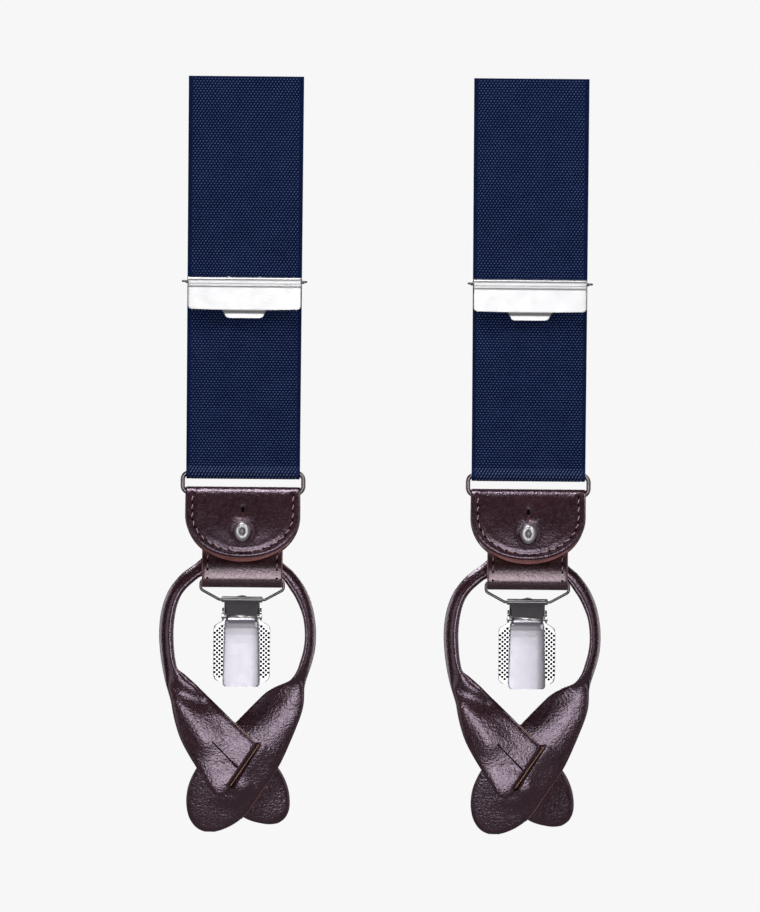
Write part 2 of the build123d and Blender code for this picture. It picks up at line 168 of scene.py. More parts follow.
def make_leather(name, dark, light, rough=0.40, spec=0.20, grain=0.00010, ior=1.5, tint=None, strength=0.65, pebble=3.2):
    m, nt, b = simple(name, dark, rough, spec=spec)
    b.inputs["IOR"].default_value = ior
    if tint:
        b.inputs["Specular Tint"].default_value = (*tint, 1)
    co = obj_coord(nt)
    big = noise_node(nt, co, 90.0, 4.0)
    small = noise_node(nt, co, 900.0, 3.0)
    flat = nt.nodes.new("ShaderNodeMapping")
    flat.inputs["Scale"].default_value = (0.8, 1.0, 1.25)
    nt.links.new(co, flat.inputs["Vector"])
    crease = noise_node(nt, flat.outputs[0], 1350.0, 2.0)
    vor = nt.nodes.new("ShaderNodeTexVoronoi")
    vor.inputs["Scale"].default_value = 1500.0
    nt.links.new(co, vor.inputs["Vector"])
    mix = math_node(nt, "ADD", math_node(nt, "MULTIPLY", big, 0.65), math_node(nt, "MULTIPLY", small, 0.35))
    col = ramp(nt, mix, [(0.30, dark), (0.72, light)])
    nt.links.new(col, b.inputs["Base Color"])
    h = math_node(nt, "ADD", math_node(nt, "MULTIPLY", vor.outputs["Distance"], 0.3 * pebble), math_node(nt, "MULTIPLY", crease, pebble))
    bump_into(nt, b, h, strength, grain)
    r = math_node(nt, "ADD", math_node(nt, "MULTIPLY", small, 0.20), rough - 0.1)
    nt.links.new(r, b.inputs["Roughness"])
    return m


def make_metal(name, color, rough):
    m, nt, b = simple(name, color, rough, metallic=1.0)
    co = obj_coord(nt)
    n = noise_node(nt, co, 400.0, 2.0)
    r = math_node(nt, "ADD", math_node(nt, "MULTIPLY", n, 0.06), rough - 0.03)
    nt.links.new(r, b.inputs["Roughness"])
    return m


def make_stud_metal(name, centre_painted_shade, shoulder_painted_highlight, rough):
    """Nickel with painted reflections in its base colour: bright on the ball's shoulder as a painted highlight, dark
    and streaked over the shallow dimple of its front as a painted dark reflection.
    """
    m, nt, b = simple(name, shoulder_painted_highlight, rough, metallic=1.0)
    co = obj_coord(nt)
    sep = nt.nodes.new("ShaderNodeSeparateXYZ")
    nt.links.new(co, sep.inputs[0])
    side = math_node(nt, "MULTIPLY", math_node(nt, "SIGN", sep.outputs[0], 0.0), HALF * 0.001)
    x = math_node(nt, "SUBTRACT", math_node(nt, "SUBTRACT", sep.outputs[0], side), STUD_X * 0.001)
    z = math_node(nt, "MULTIPLY", math_node(nt, "SUBTRACT", sep.outputs[2], STUD_Z * 0.001), 0.80)
    r2 = math_node(nt, "ADD", math_node(nt, "MULTIPLY", x, x), math_node(nt, "MULTIPLY", z, z))
    r = math_node(nt, "SQRT", r2, 0.0)
    st = nt.nodes.new("ShaderNodeMapping")
    st.inputs["Scale"].default_value = (1.0, 0.2, 0.15)
    nt.links.new(co, st.inputs["Vector"])
    streak = noise_node(nt, st.outputs[0], 2400.0, 2.0)
    f = math_node(nt, "MULTIPLY", math_node(nt, "SUBTRACT", r, 0.0009), 1100.0)
    f = math_node(nt, "ADD", f, math_node(nt, "MULTIPLY", math_node(nt, "SUBTRACT", streak, 0.45), 1.6))
    col = ramp(nt, f, [(0.0, centre_painted_shade), (1.0, shoulder_painted_highlight)])
    nt.links.new(col, b.inputs["Base Color"])
    return m


M = {
    "web": make_webbing(),
    "web_thread": simple("navy_thread", (0.010, 0.016, 0.05), 0.7, spec=0.2)[0],
    "leather": make_leather("brown_leather", (0.0175, 0.0030, 0.0046), (0.0420, 0.0095, 0.0125), rough=0.25, spec=0.5, ior=2.1,
                            tint=(0.97, 0.78, 0.97), grain=0.000035, strength=1.0, pebble=2.5),
    "leather_flap": make_leather("brown_leather_flap", (0.0175, 0.0030, 0.0046), (0.0420, 0.0095, 0.0125), rough=0.26, spec=0.5, ior=2.1,
                                 tint=(0.97, 0.78, 0.97), grain=0.000035, strength=1.0, pebble=1.8),
    "leather_polished": make_leather("brown_leather_polished", (0.0190, 0.0034, 0.0050), (0.0450, 0.0105, 0.0135), rough=0.26, spec=0.5,
                                     ior=2.25, tint=(1.0, 0.80, 0.89), grain=0.000022, strength=1.0, pebble=1.3),
    "lining": make_leather("leather_raw_edge", (0.30, 0.11, 0.11), (0.62, 0.30, 0.28), rough=0.8, spec=0.1),
    "tan": make_leather("leather_cut_edge", (0.55, 0.27, 0.14), (0.85, 0.52, 0.33), rough=0.8, spec=0.1),
    "thread": simple("tan_thread", (0.80, 0.56, 0.55), 0.6, spec=0.25)[0],
    # near-black painted shade for the stitch holes, the paddle slit and the keyhole slit
    "hole": simple("painted_hole_shade", (0.004, 0.002, 0.002), 0.9, spec=0.05)[0],
    # one nickel given several base colours as painted light: the barrel and cover lifted lighter as painted highlight,
    # the wire and housing darker as painted shade, and the ring's pinkish and the lever's lavender tints painted
    # reflections
    "nickel": make_metal("nickel", (0.34, 0.337, 0.345), 0.20),
    "nickel_barrel": make_metal("nickel_barrel", (0.62, 0.59, 0.60), 0.36),
    "nickel_cover": make_metal("nickel_cover", (0.66, 0.657, 0.665), 0.38),
    # the stud's bright shoulder and dark streaked centre are painted reflections in its base colour
    "nickel_stud": make_stud_metal("nickel_stud", (0.22, 0.205, 0.22), (0.95, 0.945, 0.955), 0.42),
    "nickel_ring": make_metal("nickel_ring", (0.27, 0.23, 0.24), 0.30),
    "nickel_lever": make_metal("nickel_lever_painted_tint", (0.42, 0.408, 0.455), 0.34),
    "nickel_wire": make_metal("nickel_wire", (0.17, 0.16, 0.165), 0.24),
    "nickel_painted_shade": make_metal("nickel_housing_painted_shade", (0.22, 0.215, 0.225), 0.32),
    "rubber": simple("black_rubber", (0.006, 0.006, 0.007), 0.7, spec=0.2)[0],
    "steel": make_metal("spring_steel", (0.30, 0.29, 0.30), 0.3),
}


# ------------------------------------------------------------------ mesh tools (local mm, y negative is the front)
def build(name, verts, faces, mat, sx, uv=None, smooth=True, auto=None):
    me = bpy.data.meshes.new(name)
    v = np.asarray(verts, float).copy()
    v[:, 0] += sx * HALF
    v *= 0.001
    me.from_pydata([tuple(p) for p in v], [], faces)
    me.update()
    if uv is not None:
        layer = me.uv_layers.new(name="weave")
        idx = np.zeros(len(me.loops), dtype=np.int32)
        me.loops.foreach_get("vertex_index", idx)
        layer.data.foreach_set("uv", np.asarray(uv, np.float32)[idx].ravel())
    ob = bpy.data.objects.new(name, me)
    bpy.context.scene.collection.objects.link(ob)
    mats = mat if isinstance(mat, (list, tuple)) else [mat]
    for q in mats:
        me.materials.append(q)
    me.polygons.foreach_set("use_smooth", [smooth] * len(me.polygons))
    if auto is not None and smooth:
        ang = math.radians(auto)
        bm_edges = me.edges
        me.set_sharp_from_angle(angle=ang)
    return ob


def loft_faces(n_rows, n_cols, caps=True, closed=False):
    faces = []
    for i in range(n_rows - 1 if not closed else n_rows):
        a, b = i * n_cols, ((i + 1) % n_rows) * n_cols
        for j in range(n_cols):
            k = (j + 1) % n_cols
            faces.append((a + j, a + k, b + k, b + j))
    if caps and not closed:
        faces.append(tuple(range(n_cols))[::-1])
        faces.append(tuple(range((n_rows - 1) * n_cols, n_rows * n_cols)))
    return faces


def section_rows(rows, nphi=48):
    """rows: (centre, E half width vector, N half thickness vector, exponent). Returns verts of superellipse rings."""
    out = []
    for (c, e, n, p) in rows:
        c, e, n = np.array(c, float), np.array(e, float), np.array(n, float)
        ph = (np.arange(nphi) + 0.5) / nphi * 2 * math.pi
        cc, ss = np.cos(ph), np.sin(ph)
        fx = np.sign(cc) * np.abs(cc) ** (2.0 / p)
        fy = np.sign(ss) * np.abs(ss) ** (2.0 / p)
        out.append(c[None] + fx[:, None] * e[None] + fy[:, None] * n[None])
    return np.concatenate(out)


def rect_ring(hw, ht, r, nx, nc=5):
    """Rounded rectangle section, many points along the two long sides."""
    pts = []
    r = min(r, ht * 0.999, hw * 0.999)
    xs = np.linspace(-hw + r, hw - r, nx)
    for x in xs:
        pts.append((x, -ht))
    for i in range(1, nc):
        a = -math.pi / 2 + math.pi / 2 * i / nc
        pts.append((hw - r + r * math.cos(a), -ht + r + r * math.sin(a)))
    pts.append((hw, -ht + r))
    if ht - r > 1e-6:
        pts.append((hw, ht - r))
    for i in range(1, nc):
        a = math.pi / 2 * i / nc
        pts.append((hw - r + r * math.cos(a), ht - r + r * math.sin(a)))
    for x in xs[::-1]:
        pts.append((x, ht))
    for i in range(1, nc):
        a = math.pi / 2 + math.pi / 2 * i / nc
        pts.append((-hw + r + r * math.cos(a), ht - r + r * math.sin(a)))
    pts.append((-hw, ht - r))
    if ht - r > 1e-6:
        pts.append((-hw, -ht + r))
    for i in range(1, nc):
        a = math.pi + math.pi / 2 * i / nc
        pts.append((-hw + r + r * math.cos(a), -ht + r + r * math.sin(a)))
    return np.array(pts)


def resample(points, step=None, n=None):
    p = np.array(points, float)
    d = np.r_[0, np.cumsum(np.linalg.norm(np.diff(p, axis=0), axis=1))]
    if n is None:
        n = max(2, int(round(d[-1] / step)) + 1)
    s = np.linspace(0, d[-1], n)
    return np.stack([np.interp(s, d, p[:, i]) for i in range(p.shape[1])], 1), s


def smooth_curve(points, n, closed=False):
    """Catmull-Rom through the points."""
    p = np.array(points, float)
    m = len(p)
    if closed:
        ext = np.vstack([p[-1], p, p[0], p[1]])
        segs = m
    else:
        ext = np.vstack([2 * p[0] - p[1], p, 2 * p[-1] - p[-2]])
        segs = m - 1
    out = []
    per = max(2, int(math.ceil(n / segs)))
    for i in range(segs):
        p0, p1, p2, p3 = ext[i], ext[i + 1], ext[i + 2], ext[i + 3]
        for k in range(per):
            t = k / per
            out.append(0.5 * ((2 * p1) + (-p0 + p2) * t + (2 * p0 - 5 * p1 + 4 * p2 - p3) * t * t
                              + (-p0 + 3 * p1 - 3 * p2 + p3) * t ** 3))
    if not closed:
        out.append(p[-1])
    return np.array(out)


def fillet_path(points, r, n=7, closed=False):
    """Polyline with round corners."""
    p = [np.array(q, float) for q in points]
    m = len(p)
    out = []
    for i in range(m):
        if not closed and i in (0, m - 1):
            out.append(p[i])
            continue
        a, b, c = p[i - 1], p[i], p[(i + 1) % m]
        u, v = a - b, c - b
        lu, lv = np.linalg.norm(u), np.linalg.norm(v)
        u, v = u / lu, v / lv
        cosang = float(np.clip(np.dot(u, v), -1, 1))
        half = math.acos(cosang) / 2
        t = min(r / max(math.tan(half), 1e-3), lu * 0.48, lv * 0.48)
        rr = t * math.tan(half)
        bis = (u + v)
        if np.linalg.norm(bis) < 1e-6:
            out.append(b)
            continue
        bis = bis / np.linalg.norm(bis)
        cen = b + bis * math.hypot(rr, t)
        s, e = b + u * t - cen, b + v * t - cen
        tot = math.acos(float(np.clip(np.dot(s, e) / (np.linalg.norm(s) * np.linalg.norm(e)), -1, 1)))
        for k in range(n + 1):
            w = k / n
            q = (math.sin((1 - w) * tot) * s + math.sin(w * tot) * e) / max(math.sin(tot), 1e-6)
            out.append(cen + q)
    return np.array(out)


def tube(name, path, r, mat, sx, nphi=14, closed=False, caps=True, wob=0.0):
    """Round tube; r is a number or one value for each path point."""
    p = np.array(path, float)
    n = len(p)
    rr = np.full(n, r) if np.isscalar(r) else np.array(r, float)
    if closed:
        tan = np.roll(p, -1, 0) - np.roll(p, 1, 0)
    else:
        tan = np.gradient(p, axis=0)
    tan /= np.linalg.norm(tan, axis=1)[:, None]
    ref = np.array([0, 1.0, 0])
    if abs(tan[0] @ ref) > 0.9:
        ref = np.array([1.0, 0, 0])
    verts = []
    u = ref - tan[0] * (ref @ tan[0])
    u /= np.linalg.norm(u)
    for i in range(n):
        u = u - tan[i] * (u @ tan[i])
        u /= np.linalg.norm(u)
        w = np.cross(tan[i], u)
        ph = np.arange(nphi) / nphi * 2 * math.pi
        ring = p[i] + (np.cos(ph)[:, None] * u + np.sin(ph)[:, None] * w) * rr[i]
        verts.append(ring)
    v = np.concatenate(verts)
    return build(name, v, loft_faces(n, nphi, caps, closed), mat, sx)


def yz_frames(path):
    """Tangent and outward (front when going down) normals of a side view path."""
    p = np.array(path, float)
    t = np.gradient(p, axis=0)
    t /= np.linalg.norm(t, axis=1)[:, None]
    # going down on the front side: tangent (0,-1) -> outward normal (-1, 0)
    nrm = np.stack([t[:, 1], -t[:, 0]], 1)
    return t, nrm


def arc_yz(cy, cz, r, a0, a1, n):
    a = np.radians(np.linspace(a0, a1, n))
    return np.stack([cy + r * np.cos(a), cz + r * np.sin(a)], 1)


def web_strip(name, path, hw0, hw1, sx, v0=0.0, relief=0.04, step=0.34, cols=103, squeeze=None, t=1.24):
    """Woven strip along a side view path. Columns of 0.5 mm and rows of 0.36 mm carry the woven relief."""
    p, s = resample(path, step=step)
    tan, nrm = yz_frames(p)
    L = s[-1]
    verts, uvs = [], []
    for i in range(len(p)):
        hw = hw0 + (hw1 - hw0) * (s[i] / L)
        if squeeze is not None:
            hw *= squeeze(s[i], p[i])
        ring = rect_ring(hw, t / 2, 0.42, cols, 4)
        x, h = ring[:, 0], ring[:, 1]
        front = h < -t / 2 + 1e-6
        back = h > t / 2 - 1e-6
        tau, vv = 2 * math.pi, v0 + s[i]
        lat = (0.5 * np.cos(tau * (1.0076 * x + 0.657 * vv)) + 0.3 * math.cos(tau * 1.314 * vv)
               + 0.25 * np.cos(tau * (1.0076 * x - 0.657 * vv)))
        inner = np.clip((hw - 1.3 - np.abs(x)) / 0.3, 0, 1)
        d = relief * lat * inner
        # selvedge: slightly thinner band with a fine edge cord
        sel = np.exp(-((np.abs(x) - (hw - 1.25)) / 0.22) ** 2) * 0.10
        d = d - sel
        hh = h + np.where(front, -d, 0) + np.where(back, d, 0)
        verts.append(np.stack([x, p[i, 0] - hh * nrm[i, 0], p[i, 1] - hh * nrm[i, 1]], 1)
                     if True else None)
        uvs.append(np.stack([x, np.full(len(x), v0 + s[i])], 1))
    v = np.concatenate(verts)
    uv = np.concatenate(uvs)
    uv[:, 0] *= 1.0
    nc = len(verts[0])
    return build(name, v, loft_faces(len(p), nc), M["web"], sx, uv=uv), s[-1]


def shade_auto(ob, deg):
    ob.data.set_sharp_from_angle(angle=math.radians(deg))


def stitch(p0, p1, r=0.19, sink=0.25, bow=0.10, out=(0, -1, 0), n=7, nphi=7):
    """One thread stitch as verts and faces: bows out in the middle, ends sink in."""
    p0, p1, out = np.array(p0, float), np.array(p1, float), np.array(out, float)
    pts, rad = [], []
    for i in range(n):
        w = i / (n - 1)
        lift = math.sin(math.pi * w) ** 0.5 * (sink + bow) - sink
        pts.append(p0 + (p1 - p0) * w + out * lift)
        rad.append(r * (0.72 + 0.28 * math.sin(math.pi * w)))
    pts = np.array(pts)
    tan = np.gradient(pts, axis=0)
    tan /= np.linalg.norm(tan, axis=1)[:, None]
    vs = []
    for i in range(n):
        a = np.cross(tan[i], out)
        a /= np.linalg.norm(a)
        b = np.cross(a, tan[i])
        ph = np.arange(nphi) / nphi * 2 * math.pi
        vs.append(pts[i] + (np.cos(ph)[:, None] * a + np.sin(ph)[:, None] * b) * rad[i])
    return np.concatenate(vs), loft_faces(n, nphi)


def merge(parts):
    V, F, o = [], [], 0
    for v, f in parts:
        V.append(v)
        F += [tuple(i + o for i in q) for q in f]
        o += len(v)
    return np.concatenate(V), F


def dome(c, r, h, out=(0, -1, 0), nphi=10):
    c, out = np.array(c, float), np.array(out, float)
    a = np.cross(out, (0, 0, 1.0))
    a = a / np.linalg.norm(a) if np.linalg.norm(a) > 1e-6 else np.array([1.0, 0, 0])
    b = np.cross(out, a)
    ph = np.arange(nphi) / nphi * 2 * math.pi
    ring = lambda rr, hh: c + (np.cos(ph)[:, None] * a + np.sin(ph)[:, None] * b) * rr + out * hh
    v = np.concatenate([ring(r, 0), ring(r * 0.8, h * 0.6), ring(r * 0.4, h * 0.92)])
    f = []
    for k in range(2):
        for j in range(nphi):
            q = (j + 1) % nphi
            f.append((k * nphi + j, k * nphi + q, (k + 1) * nphi + q, (k + 1) * nphi + j))
    f.append(tuple(range(2 * nphi, 3 * nphi)))
    f.append(tuple(range(nphi))[::-1])
    return v, f


def seg_bump(x, z, a, b, amp, sig):
    """Ridge (or valley) of height amp along the segment a-b in the front view."""
    ax, az = a
    bx, bz = b
    dx, dz = bx - ax, bz - az
    t = np.clip(((x - ax) * dx + (z - az) * dz) / (dx * dx + dz * dz), 0, 1)
    d2 = (x - ax - t * dx) ** 2 + (z - az - t * dz) ** 2
    return amp * np.exp(-d2 / sig ** 2)


def interp_rows(keys, n):
    """Smoothly fills in rows between key rows given as flat number lists."""
    k = np.array(keys, float)
    return smooth_curve(k, n)


# ------------------------------------------------------------------ leather shapes
RING_Y, RING_LOW_Z = 1.45, -126.9
FOLD_R = 1.45


S1, TILT1 = 1.7, math.radians(24)
S_TOP = S1 + FOLD_R * (math.pi - TILT1)


def _profile():
    """Side profile of the front flap leather: position and outward normal along its length s."""
    s_dn = np.arange(S1, -22.0, -0.05)
    tilt = np.radians(np.interp(-s_dn, [-1.7, -0.6, 0.8, 2.2, 5.0, 9.0, 12.0, 15.0, 22.0],
                                [24, 19, 15, 13, 12.5, 11.5, 9.8, 8.8, 8.5]))
    y = [RING_Y - FOLD_R * math.cos(TILT1)]
    z = [RING_LOW_Z + FOLD_R * math.sin(TILT1)]
    for i in range(1, len(s_dn)):
        t = 0.5 * (tilt[i] + tilt[i - 1])
        y.append(y[-1] - 0.05 * math.sin(t))
        z.append(z[-1] - 0.05 * math.cos(t))
    up = np.arange(S1 + 0.05, S_TOP + 0.2, 0.05)
    ta = TILT1 + (up - S1) / FOLD_R
    s_all = np.concatenate([s_dn[::-1], up])
    y_all = np.concatenate([np.array(y)[::-1], RING_Y - FOLD_R * np.cos(ta)])
    z_all = np.concatenate([np.array(z)[::-1], RING_LOW_Z + FOLD_R * np.sin(ta)])
    t_all = np.concatenate([tilt[::-1], ta])
    return s_all, y_all, z_all, t_all


PROFILE = _profile()


def map_front(x, s):
    """Unrolled leather (x, s) to space; s grows upward, over the ring bar and to the back."""
    s = np.asarray(s, float)
    sa, ya, za, ta = PROFILE
    y = np.interp(s, sa, ya)
    z = np.interp(s, sa, za)
    t = np.interp(s, sa, ta)
    return y, z, -np.cos(t), np.sin(t)


def d_outline(inset, top_s, n_arc=90, drop=13.25, p=2.12):
    """Closed outline of the front leather in unrolled (x, s), starting at the top left corner, going down the left side."""
    w = 17.5 - inset
    pts = []
    zmid = -5.6
    for s in np.linspace(top_s, zmid, 22):
        pts.append((-w, s))
    for a in np.linspace(180, 360, n_arc)[1:-1]:
        r = math.radians(a)
        c, q = math.cos(r), math.sin(r)
        pts.append((w * np.sign(c) * abs(c) ** (2 / p), zmid + (drop - inset) * np.sign(q) * abs(q) ** (2 / p)))
    for s in np.linspace(zmid, top_s, 22):
        pts.append((w, s))
    for x in np.linspace(w, -w, 46)[1:-1]:
        pts.append((x, top_s))
    return np.array(pts)


def stitch_line():
    w, zmid = 17.5 - 2.15, -5.9
    pts = [(-w, 0.6), (-w, zmid)]
    for a in np.linspace(180, 360, 60)[1:-1]:
        r = math.radians(a)
        pts.append((w * math.cos(r), zmid + 11.2 * math.sin(r)))
    pts += [(w, zmid), (w, 0.6)]
    return np.array(pts)


def front_flap(sx, tag):
    """Outer leather of the front flap with its keyhole, continued over the ring bar."""
    top = S_TOP
    outer = d_outline(0.0, top)
    n = len(outer)
    cx, cs = 0.0, -10.4
    hr = 2.55
    # keyhole: round hole with a short slit going up
    slit_w, slit_top = 0.24, 7.4
    # inner loop matched by position along the outline
    inner = []
    for (x, s) in outer:
        ang = math.atan2(s - cs, x - cx)
        inner.append([cx + hr * math.cos(ang), cs + hr * math.sin(ang)])
    inner = np.array(inner)
    # points of the top edge near the middle run into the slit
    for i, (x, s) in enumerate(outer):
        if s > top - 1e-6 and abs(x) < 9.0:
            t = 1 - abs(x) / 9.0
            up = hr * 0.98 + (slit_top - hr) * t
            inner[i] = [slit_w * np.sign(x) * min(1, abs(x) / 0.4), cs + up]
        elif s > cs + 2 and abs(inner[i][0]) < slit_w:
            pass
    fr = np.array([0, 0.004, 0.012, 0.024, 0.04, 0.06, 0.085, 0.115, 0.15, 0.19, 0.24, 0.30, 0.37, 0.45, 0.54, 0.64,
                   0.74, 0.83, 0.90, 0.95, 0.985, 1.0])
    V = []
    for f in fr:
        V.append(outer + (inner - outer) * f)
    U = np.concatenate(V)
    x, s = U[:, 0], U[:, 1]
    # distance to the outline (not the top edge) and to the stitch line
    edge = outer[: 22 + 88 + 22]

    def dist(pts, poly):
        a, b = poly[:-1], poly[1:]
        ab = b - a
        best = np.full(len(pts), 1e9)
        for i in range(len(a)):
            l2 = ab[i] @ ab[i]
            if l2 < 1e-12:
                continue
            t = np.clip(((pts - a[i]) @ ab[i]) / l2, 0, 1)
            q = a[i] + t[:, None] * ab[i]
            best = np.minimum(best, np.linalg.norm(pts - q, axis=1))
        return best
    d = dist(U, edge)
    ds = dist(U, stitch_line())
    T = 1.25
    r = 0.5
    dd = np.clip(d, 0, r)
    h = T / 2 - (r - np.sqrt(np.maximum(r * r - (r - dd) ** 2, 0)))
    h = h - 0.17 * np.exp(-(ds / 0.5) ** 2) + 0.08 * np.exp(-((ds - 1.1) / 0.6) ** 2)
    rad = np.hypot(x - cx, s - cs)
    h = h - 0.18 * np.exp(-((rad - hr) / 0.7) ** 2) * (s < 0)
    # the leather bulges softly round the stud and dips beside the slit
    soft = 0.22 * np.exp(-((x / 8.0) ** 2 + ((s - cs) / 6.0) ** 2)) - 0.24 * np.exp(-((x / 1.2) ** 2 + ((s + 4.6) / 1.9) ** 2))
    soft = soft - 0.30 * np.exp(-((rad - hr) / 0.9) ** 2)
    rng = np.sin(x * 0.45 + 1.3) * np.cos(s * 0.4 + 0.4) * 0.04
    h = h + (soft + rng) * np.clip(d / 1.5, 0, 1) * np.clip((0.5 - s) / 3.0, 0, 1)
    y, z, ny, nz = map_front(x, s)
    front = np.stack([x, y + ny * h, z + nz * h], 1)
    hb = -T / 2
    back = np.stack([x, y + ny * hb, z + nz * hb], 1)
    verts = np.concatenate([front, back])
    m = len(U)
    faces = []
    R = len(fr)
    for i in range(R - 1):
        for j in range(n):
            k = (j + 1) % n
            a, b, c, e = i * n + j, i * n + k, (i + 1) * n + k, (i + 1) * n + j
            faces.append((a, b, c, e))
            faces.append((m + e, m + c, m + b, m + a))
    for j in range(n):
        k = (j + 1) % n
        faces.append((m + j, m + k, k, j))
        o = (R - 1) * n
        faces.append((o + j, o + k, m + o + k, m + o + j))
    ob = build(tag + "_flap_leather", verts, faces, M["leather_flap"], sx)
    shade_auto(ob, 60)
    return ob


def keyhole_shadow(sx, tag):
    pts = []
    for sv in np.linspace(-3.35, -4.9, 8):
        y, z, ny, nz = map_front(0.0, sv)
        pts.append((0.05, float(y) + float(ny) * 0.33, float(z) + float(nz) * 0.33))
    return tube(tag + "_keyhole_shadow", np.array(pts), 0.50, M["hole"], sx, nphi=10)


def flap_lining(sx, tag):
    """Pale lining behind the front flap; its cut edge shows along the bottom."""
    outer = d_outline(0.05, -2.2, 80, drop=14.45, p=1.99)
    outer[:, 1] -= 0.0
    n = len(outer)
    cx, cs, hr = 0.0, -10.4, 2.75
    inner = np.array([[cx + hr * math.cos(math.atan2(s - cs, x - cx)), cs + hr * math.sin(math.atan2(s - cs, x - cx))]
                      for x, s in outer])
    fr = [0, 0.02, 0.1, 0.35, 0.7, 1.0]
    U = np.concatenate([outer + (inner - outer) * f for f in fr])
    x, s = U[:, 0], U[:, 1]
    lip = np.concatenate([np.full(n, v) for v in (-0.12, 0, 0, 0, 0, 0)])
    y, z, ny, nz = map_front(x, s)
    f_off, b_off = -0.62 + lip, -1.36 - lip
    front = np.stack([x, y + ny * f_off, z + nz * f_off], 1)
    back = np.stack([x, y + ny * b_off, z + nz * b_off], 1)
    verts = np.concatenate([front, back])
    m, faces, R = len(U), [], len(fr)
    for i in range(R - 1):
        for j in range(n):
            k = (j + 1) % n
            a, b, c, e = i * n + j, i * n + k, (i + 1) * n + k, (i + 1) * n + j
            faces.append((a, b, c, e))
            faces.append((m + e, m + c, m + b, m + a))
    for j in range(n):
        k = (j + 1) % n
        faces.append((m + j, m + k, k, j))
        o = (R - 1) * n
        faces.append((o + j, o + k, m + o + k, m + o + j))
    ob = build(tag + "_flap_lining_piece", verts, faces, M["lining"], sx)
    shade_auto(ob, 50)
    return ob


def flap_stitches(sx, tag):
    line = stitch_line()
    p, s = resample(line, step=0.05)
    L = s[-1]
    n = int(round(L / 2.62))
    parts, holes = [], []
    for i in range(n):
        a = (i + 0.20) / n * L
        b = (i + 0.82) / n * L
        pa = np.array([np.interp(a, s, p[:, 0]), np.interp(a, s, p[:, 1])])
        pb = np.array([np.interp(b, s, p[:, 0]), np.interp(b, s, p[:, 1])])
        t = (pb - pa) / np.linalg.norm(pb - pa)
        nn = np.array([-t[1], t[0]])
        pa, pb = pa + nn * 0.26, pb - nn * 0.22
        q = []
        for w in (pa, pb):
            y, z, ny, nz = map_front(w[0], w[1])
            q.append((np.array([w[0], float(y) + float(ny) * 0.47, float(z) + float(nz) * 0.47]),
                      np.array([0, float(ny), float(nz)])))
        parts.append(stitch(q[0][0], q[1][0], r=0.135, sink=0.18, bow=0.13, out=q[0][1]))
        # each stitch hole is a near-black dome: painted shade in the hole
        hp = (i + 1.01) / n * L
        w = np.array([np.interp(hp, s, p[:, 0]), np.interp(hp, s, p[:, 1])])
        y, z, ny, nz = map_front(w[0], w[1])
        holes.append(dome(np.array([w[0], float(y) + float(ny) * 0.47, float(z) + float(nz) * 0.47]), 0.40, 0.09,
                          out=(0, float(ny), float(nz)), nphi=9))
    v, f = merge(parts)
    a = build(tag + "_flap_thread", v, f, M["thread"], sx)
    v, f = merge(holes)
    b = build(tag + "_flap_stitch_holes", v, f, M["hole"], sx)
    return a, b


def rear_leather(sx, tag):
    """Rear flap of the leather tab, from the ring bar down behind the stud."""
    start = RING_Y + FOLD_R
    prof = smooth_curve([(start, -126.9), (start, -127.6), (start + 0.15, -128.6), (start + 0.95, -130.4), (5.7, -132.6),
                         (6.45, -134.8), (6.6, -138.0), (6.6, -148.0)], 60)
    p, s = resample(prof, n=70)
    t = np.gradient(p, axis=0)
    t /= np.linalg.norm(t, axis=1)[:, None]
    nrm = np.stack([-t[:, 1], t[:, 0]], 1)      # outward: rearwards
    rows = []
    for i, (y, z) in enumerate(p):
        if z > -133.6:
            hw = 17.5
        else:
            q = min(1.0, (-133.6 - z) / 14.45)
            hw = 17.5 * max(0.02, (1 - q ** 2.12)) ** (1 / 2.12)
        rows.append(((0, y, z), (hw, 0, 0), (0, nrm[i, 0] * 0.62, nrm[i, 1] * 0.62), 9))
    v = section_rows(rows, 72)
    ob = build(tag + "_rear_leather", v, loft_faces(len(rows), 72), M["leather"], sx)
    return ob


